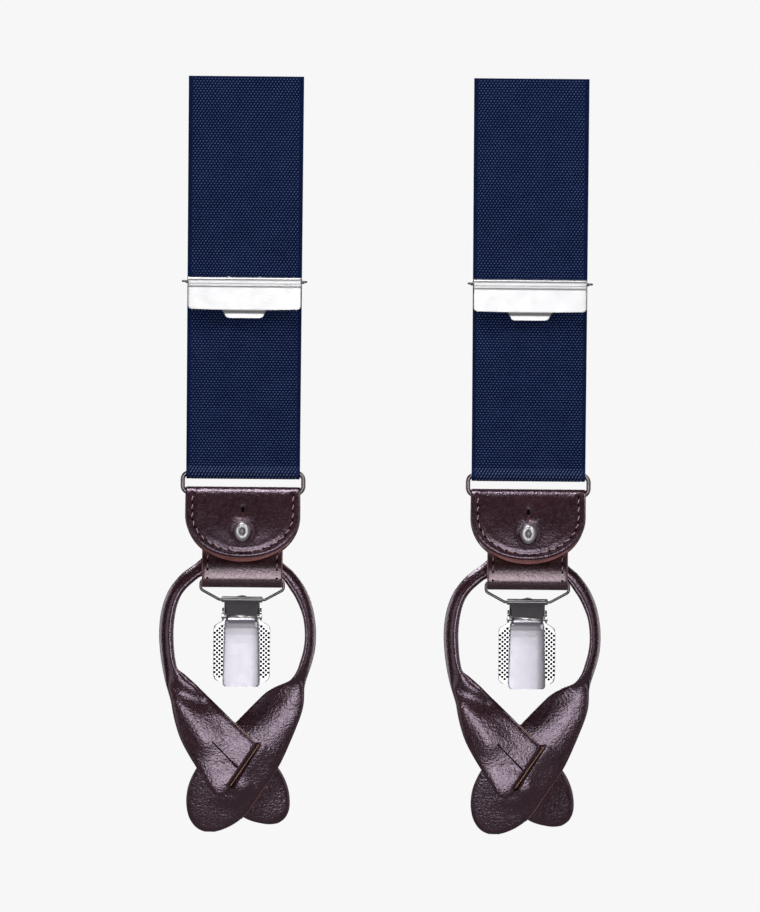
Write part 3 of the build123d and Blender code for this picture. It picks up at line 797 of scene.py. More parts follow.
def clip_tab(sx, tag):
    """Folded leather holding the clip wire."""
    cy, cz, rm, t = 1.4, -153.2, 1.15, 1.15
    front = smooth_curve([(0.95, -136.4), (0.95, -140.0), (0.93, -143.3), (0.72, -145.2), (0.28, -147.0), (-0.14, -148.4),
                          (-0.40, -149.6), (-0.53, -150.8), (-0.60, -152.0), (-0.58, -152.9), (-0.44, -153.6)], 90)
    low = arc_yz(1.02, -153.55, 1.46, 188, 345, 18)
    path = np.vstack([front[:-1], low, [(cy + rm, -152.4)], [(cy + rm, -136.4)]])
    p, s = resample(smooth_curve(path, 200), step=0.3)
    tan, nrm = yz_frames(p)
    verts = []
    for i in range(len(p)):
        ring = rect_ring(12.15, t / 2, 0.3, 30, 4)
        x, h = ring[:, 0], ring[:, 1]
        verts.append(np.stack([x, p[i, 0] - h * nrm[i, 0], p[i, 1] - h * nrm[i, 1]], 1))
    v = np.concatenate(verts)
    ob = build(tag + "_clip_tab_leather", v, loft_faces(len(p), len(verts[0])), M["leather_polished"], sx)
    # raw cut edges on both sides
    edges = []
    for side in (-1, 1):
        vv = []
        for i in range(len(p)):
            ring = rect_ring(0.14, t / 2 - 0.14, 0.1, 4, 3)
            x, h = ring[:, 0] + side * 12.12, ring[:, 1]
            vv.append(np.stack([x, p[i, 0] - h * nrm[i, 0], p[i, 1] - h * nrm[i, 1]], 1))
        edges.append((np.concatenate(vv), loft_faces(len(p), len(vv[0]))))
    vv, ff = merge(edges)
    e = build(tag + "_clip_tab_edges", vv, ff, M["lining"], sx)
    st, holes = [], []
    fz = front[:, 1][::-1]
    fy = front[:, 0][::-1]

    def yf(z):
        return float(np.interp(z, fz, fy)) - t / 2
    for side in (-1, 1):
        x = side * 10.55
        for z in (-145.6, -148.2, -150.8):
            st.append(stitch((x + 0.14, yf(z) + 0.02, z), (x - 0.14, yf(z - 1.3) + 0.02, z - 1.3), r=0.13, sink=0.2, bow=0.14))
            # near-black dome below each stitch: painted shade in the stitch hole
            holes.append(dome((x, yf(z - 1.95) - 0.01, z - 1.95), 0.38, 0.08))
    v1, f1 = merge(st)
    a = build(tag + "_clip_tab_thread", v1, f1, M["thread"], sx)
    v2, f2 = merge(holes)
    b = build(tag + "_clip_tab_holes", v2, f2, M["hole"], sx)
    return ob, e, a, b


def strip_from_outline(name, keys, sx, relief=None, n=90, nphi=72, mat=None):
    """keys: rows of (outer point, inner point, both in outline units, centre depth y, half thickness, exponent)."""
    rows = interp_rows(keys, n)
    verts = []
    for r in rows:
        ox, oz = P(r[0], r[1])
        ix, iz = P(r[2], r[3])
        c = np.array([(ox + ix) / 2, r[4], (oz + iz) / 2])
        w = math.hypot(ix - ox, iz - oz) / 2
        leg = float(np.clip((3.6 - w) / 1.2, 0, 1)) * float(np.clip(((oz + iz) / 2 + 197.0) / 6.0, 0, 1))
        e = np.array([(ix - ox) / 2, -1.35 * leg, (iz - oz) / 2])
        verts.append(section_rows([(c, e, (0, -r[5], 0), max(2.0, r[6]))], nphi))
    v = np.concatenate(verts)
    if relief is not None:
        v[:, 1] -= relief(v[:, 0], v[:, 2])
    ob = build(name, v, loft_faces(len(rows), nphi), mat or M["leather"], sx)
    return ob


def surf_y(ob, sx, x, z):
    """Depth of the front surface of ob at local (x, z) in mm."""
    hit, loc, _, _ = ob.ray_cast(Vector(((x + sx * HALF) * 0.001, -0.03, z * 0.001)), Vector((0, 1, 0)))
    return loc[1] * 1000 if hit else 3.0


def cut_box(ob, centre, size, yrot, sx):
    bpy.ops.mesh.primitive_cube_add(size=1)
    c = bpy.context.object
    c.scale = (size[0] * 0.001, size[1] * 0.001, size[2] * 0.001)
    c.rotation_euler = (0, math.radians(yrot), 0)
    c.location = ((centre[0] + sx * HALF) * 0.001, centre[1] * 0.001, centre[2] * 0.001)
    bpy.context.view_layer.update()
    m = ob.modifiers.new("slit", "BOOLEAN")
    m.object = c
    m.operation = "DIFFERENCE"
    m.solver = "EXACT"
    bpy.context.view_layer.objects.active = ob
    for o in bpy.context.selected_objects:
        o.select_set(False)
    ob.select_set(True)
    bpy.ops.object.modifier_apply(modifier=m.name)
    bpy.data.objects.remove(c, do_unlink=True)
    return ob


def button_loop(sx, tag):
    made = []
    # left leg and paddle, one continuous strip of leather
    yl = 5.6
    left_keys = [
        (204.5, 555.5, 207.5, 568.0, yl, 2.2, 2.0),
        (196.5, 562.6, 203.0, 575.5, yl, 2.25, 2.0),
        (190.5, 567.0, 198.8, 577.9, yl, 2.25, 2.0),
        (182.5, 573.0, 192.0, 583.4, yl, 2.25, 2.0),
        (175.0, 581.0, 185.8, 589.3, yl, 2.25, 2.0),
        (168.4, 590.4, 180.6, 596.6, yl, 2.25, 2.0),
        (163.6, 601.5, 177.0, 605.8, yl, 2.25, 2.0),
        (160.6, 612.5, 174.8, 616.0, yl, 2.25, 2.0),
        (158.9, 625.0, 173.5, 627.0, yl, 2.3, 2.0),
        (158.5, 637.5, 173.3, 638.0, yl, 2.3, 2.0),
        (159.3, 650.5, 173.9, 650.5, yl, 2.3, 2.05),
        (160.6, 661.5, 175.2, 660.6, yl - 0.1, 2.2, 2.1),
        (162.5, 672.5, 177.6, 669.2, yl - 0.3, 2.0, 2.2),
        (165.0, 683.5, 184.4, 674.6, yl - 0.6, 1.75, 2.3),
        (168.0, 693.5, 195.5, 684.5, yl - 0.9, 1.5, 2.6),
        (170.6, 702.5, 205.0, 694.0, yl - 1.1, 1.3, 3.0),
        (172.6, 714.0, 217.5, 706.0, yl - 1.3, 1.15, 3.6),
        (175.6, 726.5, 231.0, 719.3, yl - 1.45, 1.05, 4.2),
        (180.0, 739.4, 245.0, 733.5, yl - 1.55, 1.0, 5.0),
        (187.0, 753.2, 256.6, 745.9, yl - 1.6, 1.0, 5.0),
        (195.6, 767.4, 249.5, 757.4, yl - 1.6, 1.0, 5.0),
        (203.2, 779.4, 241.6, 768.9, yl - 1.75, 1.0, 5.0),
        (209.6, 789.2, 234.4, 779.4, yl - 1.9, 1.0, 4.6),
        (213.6, 794.0, 230.8, 785.9, yl - 1.85, 1.0, 4.0),
        (217.4, 796.3, 228.4, 790.6, yl - 1.75, 0.95, 3.0),
        (220.6, 797.0, 226.4, 794.2, yl - 1.6, 0.7, 2.2),
    ]

    def relief_l(x, z):
        h = seg_bump(x, z, P(178, 703), P(204, 738), 0.85, 4.6)
        h += seg_bump(x, z, P(204, 738), P(215, 775), 0.30, 6.0)
        h -= 0.35 * np.clip((z - P(0, 716)[1]) / 4.0, 0, 1) * np.clip((x - P(205, 0)[0]) / 4.0, 0, 1)
        h -= seg_bump(x, z, P(176, 691), P(200, 702), 0.60, 2.6)
        h += seg_bump(x, z, P(182, 681), P(194, 688), 0.55, 2.8)
        # the strip to the right of the own slit stands a little higher
        ax, az = P(212.6, 742.7)
        bx, bz = P(238.4, 768.5)
        dx, dz = bx - ax, bz - az
        L = math.hypot(dx, dz)
        side = ((x - ax) * (-dz) + (z - az) * dx) / L
        along = ((x - ax) * dx + (z - az) * dz) / L
        m = np.clip(along / 3.0, 0, 1) * np.clip((L + 3.0 - along) / 3.0, 0, 1)
        m = m * m * (3 - 2 * m)
        h += m * 0.26 * np.clip(side / 0.3 + 0.5, 0, 1) * np.exp(-np.clip(side, 0, 99) / 8.0)
        h -= m * 0.10 * np.exp(-((side + 0.8) / 1.0) ** 2)
        # dives into the slit of the other paddle
        sx0, sz0 = P(257.5, 745.5)
        ex, ez = P(229.2, 787.5)
        dx, dz = ex - sx0, ez - sz0
        L = math.hypot(dx, dz)
        dist = ((x - sx0) * dz - (z - sz0) * dx) / L
        al = ((x - sx0) * dx + (z - sz0) * dz) / L
        on = np.clip(al / 0.8 + 0.9, 0, 1) * np.clip((L + 0.6 - al) / 1.2, 0, 1)
        h -= on * 1.9 * np.clip(1 - np.abs(dist) / 1.1, 0, 1) ** 2
        return h
    l = strip_from_outline(tag + "_loop_left_leather", left_keys, sx, relief_l, n=150, nphi=84)
    made.append(l)
    # painted shade: a near-black tube laid along the own slit of the left paddle
    sl = smooth_curve([P(212.0, 742.0), P(224.5, 754.6), P(237.5, 767.6)], 40)
    pts = np.stack([sl[:, 0], np.array([surf_y(l, sx, u, w) for u, w in sl]) + 0.05, sl[:, 1]], 1)
    made.append(tube(tag + "_paddle_slit_shade", pts, 0.23, M["hole"], sx, nphi=8))
    # right leg and paddle
    yr = 5.6
    right_keys = [
        (276.5, 556.0, 273.0, 568.0, yr, 1.7, 2.0),
        (285.5, 564.4, 279.5, 575.0, yr, 1.75, 2.0),
        (292.0, 569.8, 284.5, 581.0, yr, 1.75, 2.0),
        (298.6, 577.6, 289.6, 588.4, yr, 1.75, 2.0),
        (305.2, 587.4, 294.4, 595.8, yr, 1.75, 2.0),
        (310.4, 599.2, 299.0, 605.4, yr, 1.75, 2.0),
        (313.8, 612.0, 302.6, 615.6, yr, 1.75, 2.0),
        (315.7, 626.0, 304.4, 627.4, yr, 1.75, 2.0),
        (315.9, 639.0, 304.6, 638.6, yr, 1.75, 2.0),
        (314.8, 650.5, 303.2, 649.6, yr, 1.8, 2.0),
        (312.2, 661.5, 300.2, 660.5, yr, 1.85, 2.1),
        (309.0, 671.5, 296.4, 671.0, yr + 0.1, 1.8, 2.2),
        (306.2, 680.0, 289.5, 680.2, yr + 0.3, 1.6, 2.3),
        (304.4, 688.0, 277.5, 685.4, yr + 0.5, 1.4, 2.6),
        (304.2, 695.0, 266.0, 692.4, yr + 0.65, 1.25, 3.0),
        (303.8, 702.5, 255.5, 702.4, yr + 0.75, 1.1, 3.6),
        (302.4, 710.0, 247.0, 711.0, yr + 0.8, 1.0, 4.4),
        (299.4, 719.4, 238.6, 719.6, yr + 0.8, 1.0, 5.0),
        (294.6, 731.6, 229.0, 729.6, yr + 0.8, 1.0, 5.0),
        (289.8, 743.0, 218.0, 741.6, yr + 0.8, 1.0, 5.0),
        (284.0, 756.2, 206.0, 755.6, yr + 0.8, 1.0, 5.0),
        (277.8, 768.2, 196.0, 769.0, yr + 0.8, 1.0, 5.0),
        (270.0, 779.6, 190.0, 780.6, yr + 0.8, 1.0, 5.0),
        (262.4, 790.0, 187.0, 789.6, yr + 0.8, 1.0, 5.0),
        (255.0, 801.0, 185.6, 799.6, yr + 0.8, 1.0, 5.0),
        (248.0, 811.4, 185.9, 808.8, yr + 0.8, 1.0, 5.0),
        (240.6, 820.0, 188.0, 818.0, yr + 0.8, 1.0, 4.6),
        (231.0, 826.8, 192.2, 825.6, yr + 0.8, 0.95, 4.0),
        (221.5, 831.2, 197.6, 830.6, yr + 0.8, 0.85, 3.2),
        (214.0, 833.4, 203.4, 833.2, yr + 0.8, 0.4, 2.2),
    ]

    def relief_r(x, z):
        # ridge running down from the leg, falling away steeply towards the upper left
        ax, az = P(306, 684)
        bx, bz = P(258, 732)
        dx, dz = bx - ax, bz - az
        L = math.hypot(dx, dz)
        d = ((x - ax) * dz - (z - az) * dx) / L
        al = ((x - ax) * dx + (z - az) * dz) / L
        fade = np.clip((L + 9.0 - al) / 12.0, 0, 1)
        fade = fade * fade * (3 - 2 * fade)
        body = np.clip((-182.5 - z) / 9.0, 0, 1)
        fade = fade * body * body * (3 - 2 * body)
        drop = np.minimum(np.logaddexp(0, (d - 0.6) / 0.8) * 0.8, 9.0)
        h = 0.5 * fade - 0.30 * fade * drop
        h -= 0.17 * np.minimum(np.logaddexp(0, (-d - 5.0) / 1.2) * 1.2, 8.0) * fade
        # the lower lobe leans back
        low = np.logaddexp(0, (-z - 207.5) / 1.5) * 1.5
        h -= 0.155 * low
        h += seg_bump(x, z, P(233, 799), P(243, 789), 0.55, 2.4)
        ax, az = P(259.5, 743.5)
        bx, bz = P(229.2, 787.5)
        dx, dz = bx - ax, bz - az
        L = math.hypot(dx, dz)
        side = ((x - ax) * dz - (z - az) * dx) / L
        al = ((x - ax) * dx + (z - az) * dz) / L
        on = np.clip(al / 1.5 + 0.8, 0, 1) * np.clip((L + 1.2 - al) / 2.0, 0, 1)
        h += on * 0.75 * np.exp(-np.clip(-side, 0, 99) / 3.2) * (side < 0.9)
        return h
    r = strip_from_outline(tag + "_loop_right_leather", right_keys, sx, relief_r, n=150, nphi=84)
    ax, az = P(258.2, 745.4)
    bx, bz = P(228.6, 788.2)
    ang = math.degrees(math.atan2(-(bz - az), bx - ax))
    cut_box(r, ((ax + bx) / 2 - 0.55, 6.2, (az + bz) / 2 + 0.35), (math.hypot(bx - ax, bz - az), 7.0, 1.5), ang, sx)
    made.append(r)
    # tan cut edges of the slit and of the left paddle's inner edge
    edge = [np.array([*P(258.6, 744.8), 0]), np.array([*P(229.6, 787.0), 0])]
    pts = [(e[0] + (f[0] - e[0]) * w, 0, e[1] + (f[1] - e[1]) * w) for e, f in [(edge[0], edge[1])] for w in np.linspace(0, 1, 24)]
    pts = np.array(pts)
    pts[:, 1] = 5.6 + 0.8 - 1.0 - 0.80
    made.append(tube(tag + "_slit_cut_edge", pts, 0.17, M["tan"], sx, nphi=8))
    px, pz = P(257.2, 745.4)
    v, f = dome((px, 7.0, pz), 1.3, 0.3, nphi=14)
    made.append(build(tag + "_slit_end_patch", v, f, M["leather"], sx))
    e2 = smooth_curve([(*P(233.5, 722.2),), (*P(244.5, 733.0),), (*P(255.8, 744.6),)], 20)
    pts2 = np.stack([e2[:, 0] + 0.02, np.full(len(e2), 4.35), e2[:, 1]], 1)
    made.append(tube(tag + "_paddle_cut_edge", pts2, 0.19, M["tan"], sx, nphi=8))
    # the left paddle behind the right one, with its rounded end showing at the lower right
    ear_keys = [
        (258.6, 744.0, 230.4, 785.4, 4.9, 0.75, 4.0),
        (259.6, 745.6, 230.8, 787.0, 6.4, 0.75, 4.0),
        (260.6, 751.6, 229.6, 790.6, 8.2, 0.8, 4.0),
        (267.0, 757.0, 228.6, 797.4, 9.3, 0.95, 4.6),
        (274.0, 763.6, 231.6, 806.4, 10.0, 1.0, 5.0),
        (280.2, 771.8, 237.6, 814.0, 10.7, 1.0, 5.0),
        (285.0, 781.0, 244.1, 819.4, 11.3, 1.0, 5.0),
        (288.4, 792.0, 252.0, 822.8, 11.8, 1.0, 5.0),
        (289.5, 803.0, 260.4, 824.8, 12.2, 1.0, 4.6),
        (288.6, 811.2, 268.4, 825.8, 12.5, 0.95, 4.0),
        (285.6, 818.0, 276.0, 825.0, 12.7, 0.6, 3.0),
        (282.8, 821.2, 279.4, 823.6, 12.8, 0.25, 2.2),
    ]
    made.append(strip_from_outline(tag + "_loop_left_ear", ear_keys, sx, None, n=70, nphi=60))
    # fine pale line of the right paddle's cut edge over the ear
    e3 = smooth_curve([P(277.0, 769.6), P(262.6, 790.0), P(248.4, 811.2), P(241.0, 820.0)], 30)
    pts3 = np.stack([e3[:, 0], np.array([min(surf_y(r, sx, u - 0.35, w), 9.0) for u, w in e3]) + 0.55, e3[:, 1]], 1)
    made.append(tube(tag + "_right_paddle_cut_edge", pts3, 0.12, M["lining"], sx, nphi=6))
    return made


# ------------------------------------------------------------------ metal shapes
def adjuster(sx, tag):
    cy, cz = -2.3, -62.5
    ang = np.radians(np.linspace(-75, 205, 44))
    roll = np.stack([cy + 1.08 * np.sign(np.cos(ang)) * np.abs(np.cos(ang)) ** 0.58,
                     cz + 1.08 * np.sign(np.sin(ang)) * np.abs(np.sin(ang)) ** 0.72], 1)
    sheet = np.array([(-3.38, -63.4), (-3.32, -63.75), (-3.46, -64.0), (-3.52, -64.4), (-3.46, -65.6), (-3.35, -67.6), (-3.22, -69.8),
                      (-3.15, -70.9), (-3.11, -71.2), (-2.96, -71.5), (-2.74, -72.0), (-2.66, -72.35), (-2.64, -72.75), (-2.60, -73.6)])
    p = np.vstack([roll, sheet])
    q, s = resample(fillet_path(p, 0.25, 4), step=0.16)
    t = np.gradient(q, axis=0)
    t /= np.linalg.norm(t, axis=1)[:, None]
    nrm = np.stack([t[:, 1], -t[:, 0]], 1)
    rows = []
    for i, (y, z) in enumerate(q):
        hw = 17.2
        inroll = s[i] < 6.2
        if not inroll:
            if z < -69.9 and z > -71.0:
                k = (-69.9 - z) / 1.1
                hw = 17.2 - 1.1 * (1 - math.sqrt(max(0.0, 1 - k * k)))
            elif z <= -71.0:
                k = min(1.0, (-71.0 - z) / 2.6)
                hw = 6.75 - 1.2 * k
                if z < -73.1:
                    hw -= 0.5 * ((-73.1 - z) / 0.5) ** 2
        rows.append(((0, y, z), (hw, 0, 0), (0, nrm[i, 0] * 0.33, nrm[i, 1] * 0.33), 14))
    v = section_rows(rows, 88)
    cover = build(tag + "_adjuster_flip_cover", v, loft_faces(len(rows), 88), M["nickel_cover"], sx)
    shade_auto(cover, 40)
    lugs = []
    for x0 in (-4.7, 4.7):
        rr = [((x0 - 0.95 + 1.9 * k / 8, cy, cz + 1.25), (0, 0.5, 0), (0, 0, 0.32 * math.sin(math.pi * (0.08 + 0.84 * k / 8))), 3)
              for k in range(9)]
        lugs.append((section_rows(rr, 16), loft_faces(9, 16)))
    vv, ff = merge(lugs)
    lug = build(tag + "_adjuster_cover_lugs", vv, ff, M["nickel"], sx)
    return cover, lug


def adjuster_frame(sx, tag):
    """Wire frame: rear bar held by the webbing, two side arms and the front bar inside the cover's roll."""
    pts = fillet_path([(-17.75, -2.3, -62.5), (17.75, -2.3, -62.5), (17.75, 4.25, -62.5), (-17.75, 4.25, -62.5)], 0.7, 6, closed=True)
    frame_wire = tube(tag + "_adjuster_frame_wire", pts, 0.5, M["nickel"], sx, nphi=14, closed=True)
    tips = []
    for side in (-1, 1):
        rows = [((side * (16.6 + 2.45 * k / 7), -2.3, -62.5), (0, 0.34 * (1 - 0.35 * (k == 7)), 0), (0, 0, 0.34 * (1 - 0.35 * (k == 7))), 2)
                for k in range(8)]
        tips.append((section_rows(rows, 14), loft_faces(8, 14)))
    vv, ff = merge(tips)
    pin = build(tag + "_adjuster_pin_tips", vv, ff, M["nickel_wire"], sx)
    return frame_wire, pin


def wire_ring(sx, tag):
    pts = fillet_path([(-18.35, 1.45, -120.5), (18.35, 1.45, -120.5), (18.35, 1.45, -126.9), (-18.35, 1.45, -126.9)],
                      2.3, 10, closed=True)
    return tube(tag + "_strap_ring_wire", pts, 0.7, M["nickel_ring"], sx, nphi=18, closed=True)


def clip_wire(sx, tag):
    pts = fillet_path([(-12.6, 1.4, -153.2), (12.6, 1.4, -153.2), (12.6, 1.4, -156.2), (6.9, 1.4, -159.3),
                       (-6.9, 1.4, -159.3), (-12.6, 1.4, -156.2)], 1.3, 8, closed=True)
    return tube(tag + "_clip_hanger_wire", pts, 0.45, M["nickel_wire"], sx, nphi=14, closed=True)


def plate_rows(name, prof, hwf, half_t, mat, sx, step=0.25, exp=12, nphi=64, sharp=40):
    q, s = resample(fillet_path(np.array(prof), 0.5, 5), step=step)
    t = np.gradient(q, axis=0)
    t /= np.linalg.norm(t, axis=1)[:, None]
    nrm = np.stack([t[:, 1], -t[:, 0]], 1)
    rows = [((0, y, z), (hwf(z), 0, 0), (0, nrm[i, 0] * half_t, nrm[i, 1] * half_t), exp) for i, (y, z) in enumerate(q)]
    ob = build(name, section_rows(rows, nphi), loft_faces(len(rows), nphi), mat, sx)
    shade_auto(ob, sharp)
    return ob


def clip(sx, tag):
    made = {}
    cy = 1.4
    # rolled top of the housing
    r0 = arc_yz(cy, -159.3, 0.80, -40, 235, 26)
    v = []
    rows = []
    for i, (y, z) in enumerate(r0):
        a = math.radians(-40 + 275 * i / 25)
        rows.append(((0, y, z), (6.2, 0, 0), (0, math.cos(a) * 0.24, math.sin(a) * 0.24), 12))
    roll = build(tag + "_clip_roll", section_rows(rows, 40), loft_faces(len(rows), 40), M["nickel_painted_shade"], sx)
    shade_auto(roll, 40)

    def hw_house(z):
        return float(np.interp(-z, [159.4, 160.0, 163.4, 164.4], [5.3, 5.2, 4.75, 4.6]))
    house = plate_rows(tag + "_clip_housing", [(0.62, -159.7), (0.30, -160.9), (-0.10, -162.6), (-0.52, -164.4)],
                       hw_house, 0.22, M["nickel_painted_shade"], sx, step=0.2)

    def hw_rear(z):
        return float(np.interp(-z, [159.5, 164.3, 165.8, 167.2, 168.0, 182.4, 183.3, 183.9, 184.2],
                               [5.4, 5.4, 6.0, 8.3, 8.6, 8.6, 8.4, 7.9, 7.2]))
    rear = plate_rows(tag + "_clip_rear_jaw", [(cy + 0.7, -159.6), (2.7, -161.2), (3.6, -163.4), (3.7, -166.0), (3.7, -184.2)],
                      hw_rear, 0.28, M["nickel"], sx)
    # side ears with round pin heads
    ears = []
    for side in (-1, 1):
        out = [(-1.7, -163.2), (-0.9, -162.5), (1.0, -161.6), (3.5, -162.2), (3.6, -165.4), (1.5, -165.5), (-1.2, -165.5), (-1.75, -164.8)]
        o = smooth_curve([(a, b) for a, b in out], 40, closed=True)
        n = len(o)
        vv = np.concatenate([np.stack([np.full(n, side * 5.5), o[:, 0], o[:, 1]], 1),
                             np.stack([np.full(n, side * 5.98), o[:, 0], o[:, 1]], 1)])
        ff = [tuple(range(n)), tuple(range(2 * n - 1, n - 1, -1))] + [(j, (j + 1) % n, n + (j + 1) % n, n + j) for j in range(n)]
        ears.append((vv, ff))
        ears.append(dome((side * 5.95, -0.9, -164.3), 0.72, 0.22, out=(side, 0, 0), nphi=16))
    vv, ff = merge(ears)
    ear = build(tag + "_clip_ears", vv, ff, M["nickel"], sx)
    shade_auto(ear, 40)
    made["clip"] = [roll, house, rear, ear]
    # spring with a small tail over the roll
    tail = [((-1.38 + 2.76 * k / 10, cy - 0.35, -158.35 + 0.28 * math.sin(math.pi * k / 10)), (0, 0.5, 0), (0, 0, 0.22), 3) for k in range(11)]
    sp = build(tag + "_clip_spring_tail", section_rows(tail, 16), loft_faces(11, 16), M["steel"], sx)
    coil = []
    for side in (-1, 1):
        a = np.linspace(0, 2 * math.pi * 3, 60)
        coil.append(np.stack([side * (1.3 + a / (6 * math.pi) * 1.8), 1.5 + 0.6 * np.cos(a), -163.6 + 0.6 * np.sin(a)], 1))
    c1 = tube(tag + "_clip_spring_coil_a", coil[0], 0.17, M["steel"], sx, nphi=8)
    c2 = tube(tag + "_clip_spring_coil_b", coil[1], 0.17, M["steel"], sx, nphi=8)
    made["spring"] = [sp, c1, c2]

    # front jaw plate, perforated, with the dark grip showing through
    def hw_jaw(z):
        return float(np.interp(-z, [165.9, 167.1, 167.5, 167.9, 168.5, 182.0, 182.5, 182.9, 183.2],
                               [5.1, 5.2, 7.6, 8.25, 8.6, 8.6, 8.3, 7.8, 7.2]))
    jaw = plate_rows(tag + "_clip_front_jaw", [(0.6, -165.9), (0.6, -183.2)], hw_jaw, 0.3, M["nickel"], sx, step=0.18, exp=40, nphi=96)
    dots = []
    for ci in range(-11, 12):
        x = ci * 0.745
        for ri in range(0, 13):
            z = -167.45 - ri * 1.33 - (0.665 if ci % 2 else 0.0)
            if abs(x) > 8.3 or z < -182.78 or (abs(x) > 7.6 and (z > -168.4 or z < -182.2)) or (abs(x) > 6.9 and z > -167.9):
                continue
            dots.append(dome((x, 0.30, z), 0.41, 0.05, nphi=12))
    vv, ff = merge(dots)
    dot = build(tag + "_clip_jaw_grip_dots", vv, ff, M["rubber"], sx)
    made["jaw"] = [jaw, dot]

    # flip lever
    def hw_lever(z):
        return float(np.interp(-z, [164.9, 165.3, 165.9, 166.6, 168.0, 183.6, 184.9, 185.35, 185.7],
                               [4.7, 4.75, 5.1, 5.2, 5.25, 5.65, 5.6, 5.35, 4.9]))
    lever = plate_rows(tag + "_clip_lever_plate", [(-1.40, -164.9), (-1.85, -165.5), (-2.08, -166.5), (-2.30, -168.0),
                                                   (-2.48, -170.0), (-2.62, -172.5), (-2.71, -175.5), (-2.76, -179.0),
                                                   (-2.77, -183.6), (-2.77, -184.6), (-2.77, -185.7)],
                       hw_lever, 0.3, M["nickel_lever"], sx, exp=9)
    # the plate is pressed slightly hollow to the back towards both long edges
    co = np.empty(len(lever.data.vertices) * 3)
    lever.data.vertices.foreach_get("co", co)
    co = co.reshape(-1, 3)
    lx = (co[:, 0] - sx * HALF * 0.001) * 1000
    co[:, 1] += (0.16 * (np.abs(lx) / 5.4) ** 2.1) * 0.001 * np.where(lx > 0, 2.1, 0.15)
    lever.data.vertices.foreach_set("co", co.ravel())
    barrel = tube(tag + "_clip_lever_barrel", [(-4.75, -0.95, -164.72), (4.75, -0.95, -164.72)], 0.80, M["nickel_barrel"], sx, nphi=28)
    cams = []
    for side in (-1, 1):
        o = np.array([(-1.8, -164.6), (-0.9, -163.7), (-0.05, -164.2), (-0.02, -165.0), (-0.6, -165.5), (-1.4, -168.0), (-2.3, -171.0), (-2.3, -166.0)])
        n = len(o)
        vv = np.concatenate([np.stack([np.full(n, side * 4.1), o[:, 0], o[:, 1]], 1),
                             np.stack([np.full(n, side * 4.7), o[:, 0], o[:, 1]], 1)])
        ff = [tuple(range(n)), tuple(range(2 * n - 1, n - 1, -1))] + [(j, (j + 1) % n, n + (j + 1) % n, n + j) for j in range(n)]
        cams.append((vv, ff))
    vv, ff = merge(cams)
    cam = build(tag + "_clip_lever_cams", vv, ff, M["nickel_painted_shade"], sx, smooth=False)
    made["lever"] = [lever, barrel, cam]
    return made


def ball_stud(sx, tag):
    rows = []
    prof = [(0.02, -7.88), (0.5, -7.92), (0.9, -8.02), (1.35, -8.08), (1.8, -7.95), (2.15, -7.5), (2.38, -6.8), (2.45, -6.1),
            (2.38, -5.3), (2.05, -4.5), (1.5, -3.9), (1.25, -3.3), (1.25, -2.0), (1.1, -1.0), (1.1, 7.2)]
    c = smooth_curve(prof, 70)
    n = 40
    V = []
    ph = np.arange(n) / n * 2 * math.pi
    for r, y in c:
        stretch = 1.0 + 0.26 * float(np.clip((-3.7 - y) / 0.8, 0, 1))
        V.append(np.stack([r * np.cos(ph), np.full(n, y), -138.4 + r * stretch * np.sin(ph)], 1))
    v = np.concatenate(V)
    return build(tag + "_ball_stud", v, loft_faces(len(c), n), M["nickel_stud"], sx)


# ------------------------------------------------------------------ assembly
def bevelled(node, mat, width=0.12):
    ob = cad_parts[node]
    ob.data.materials.clear()
    ob.data.materials.append(mat)
    m = ob.modifiers.new("edge", "BEVEL")
    m.width = width * 0.001
    m.segments = 2
    m.limit_method = "ANGLE"
    m.angle_limit = math.radians(40)
    m.harden_normals = False
    return ob


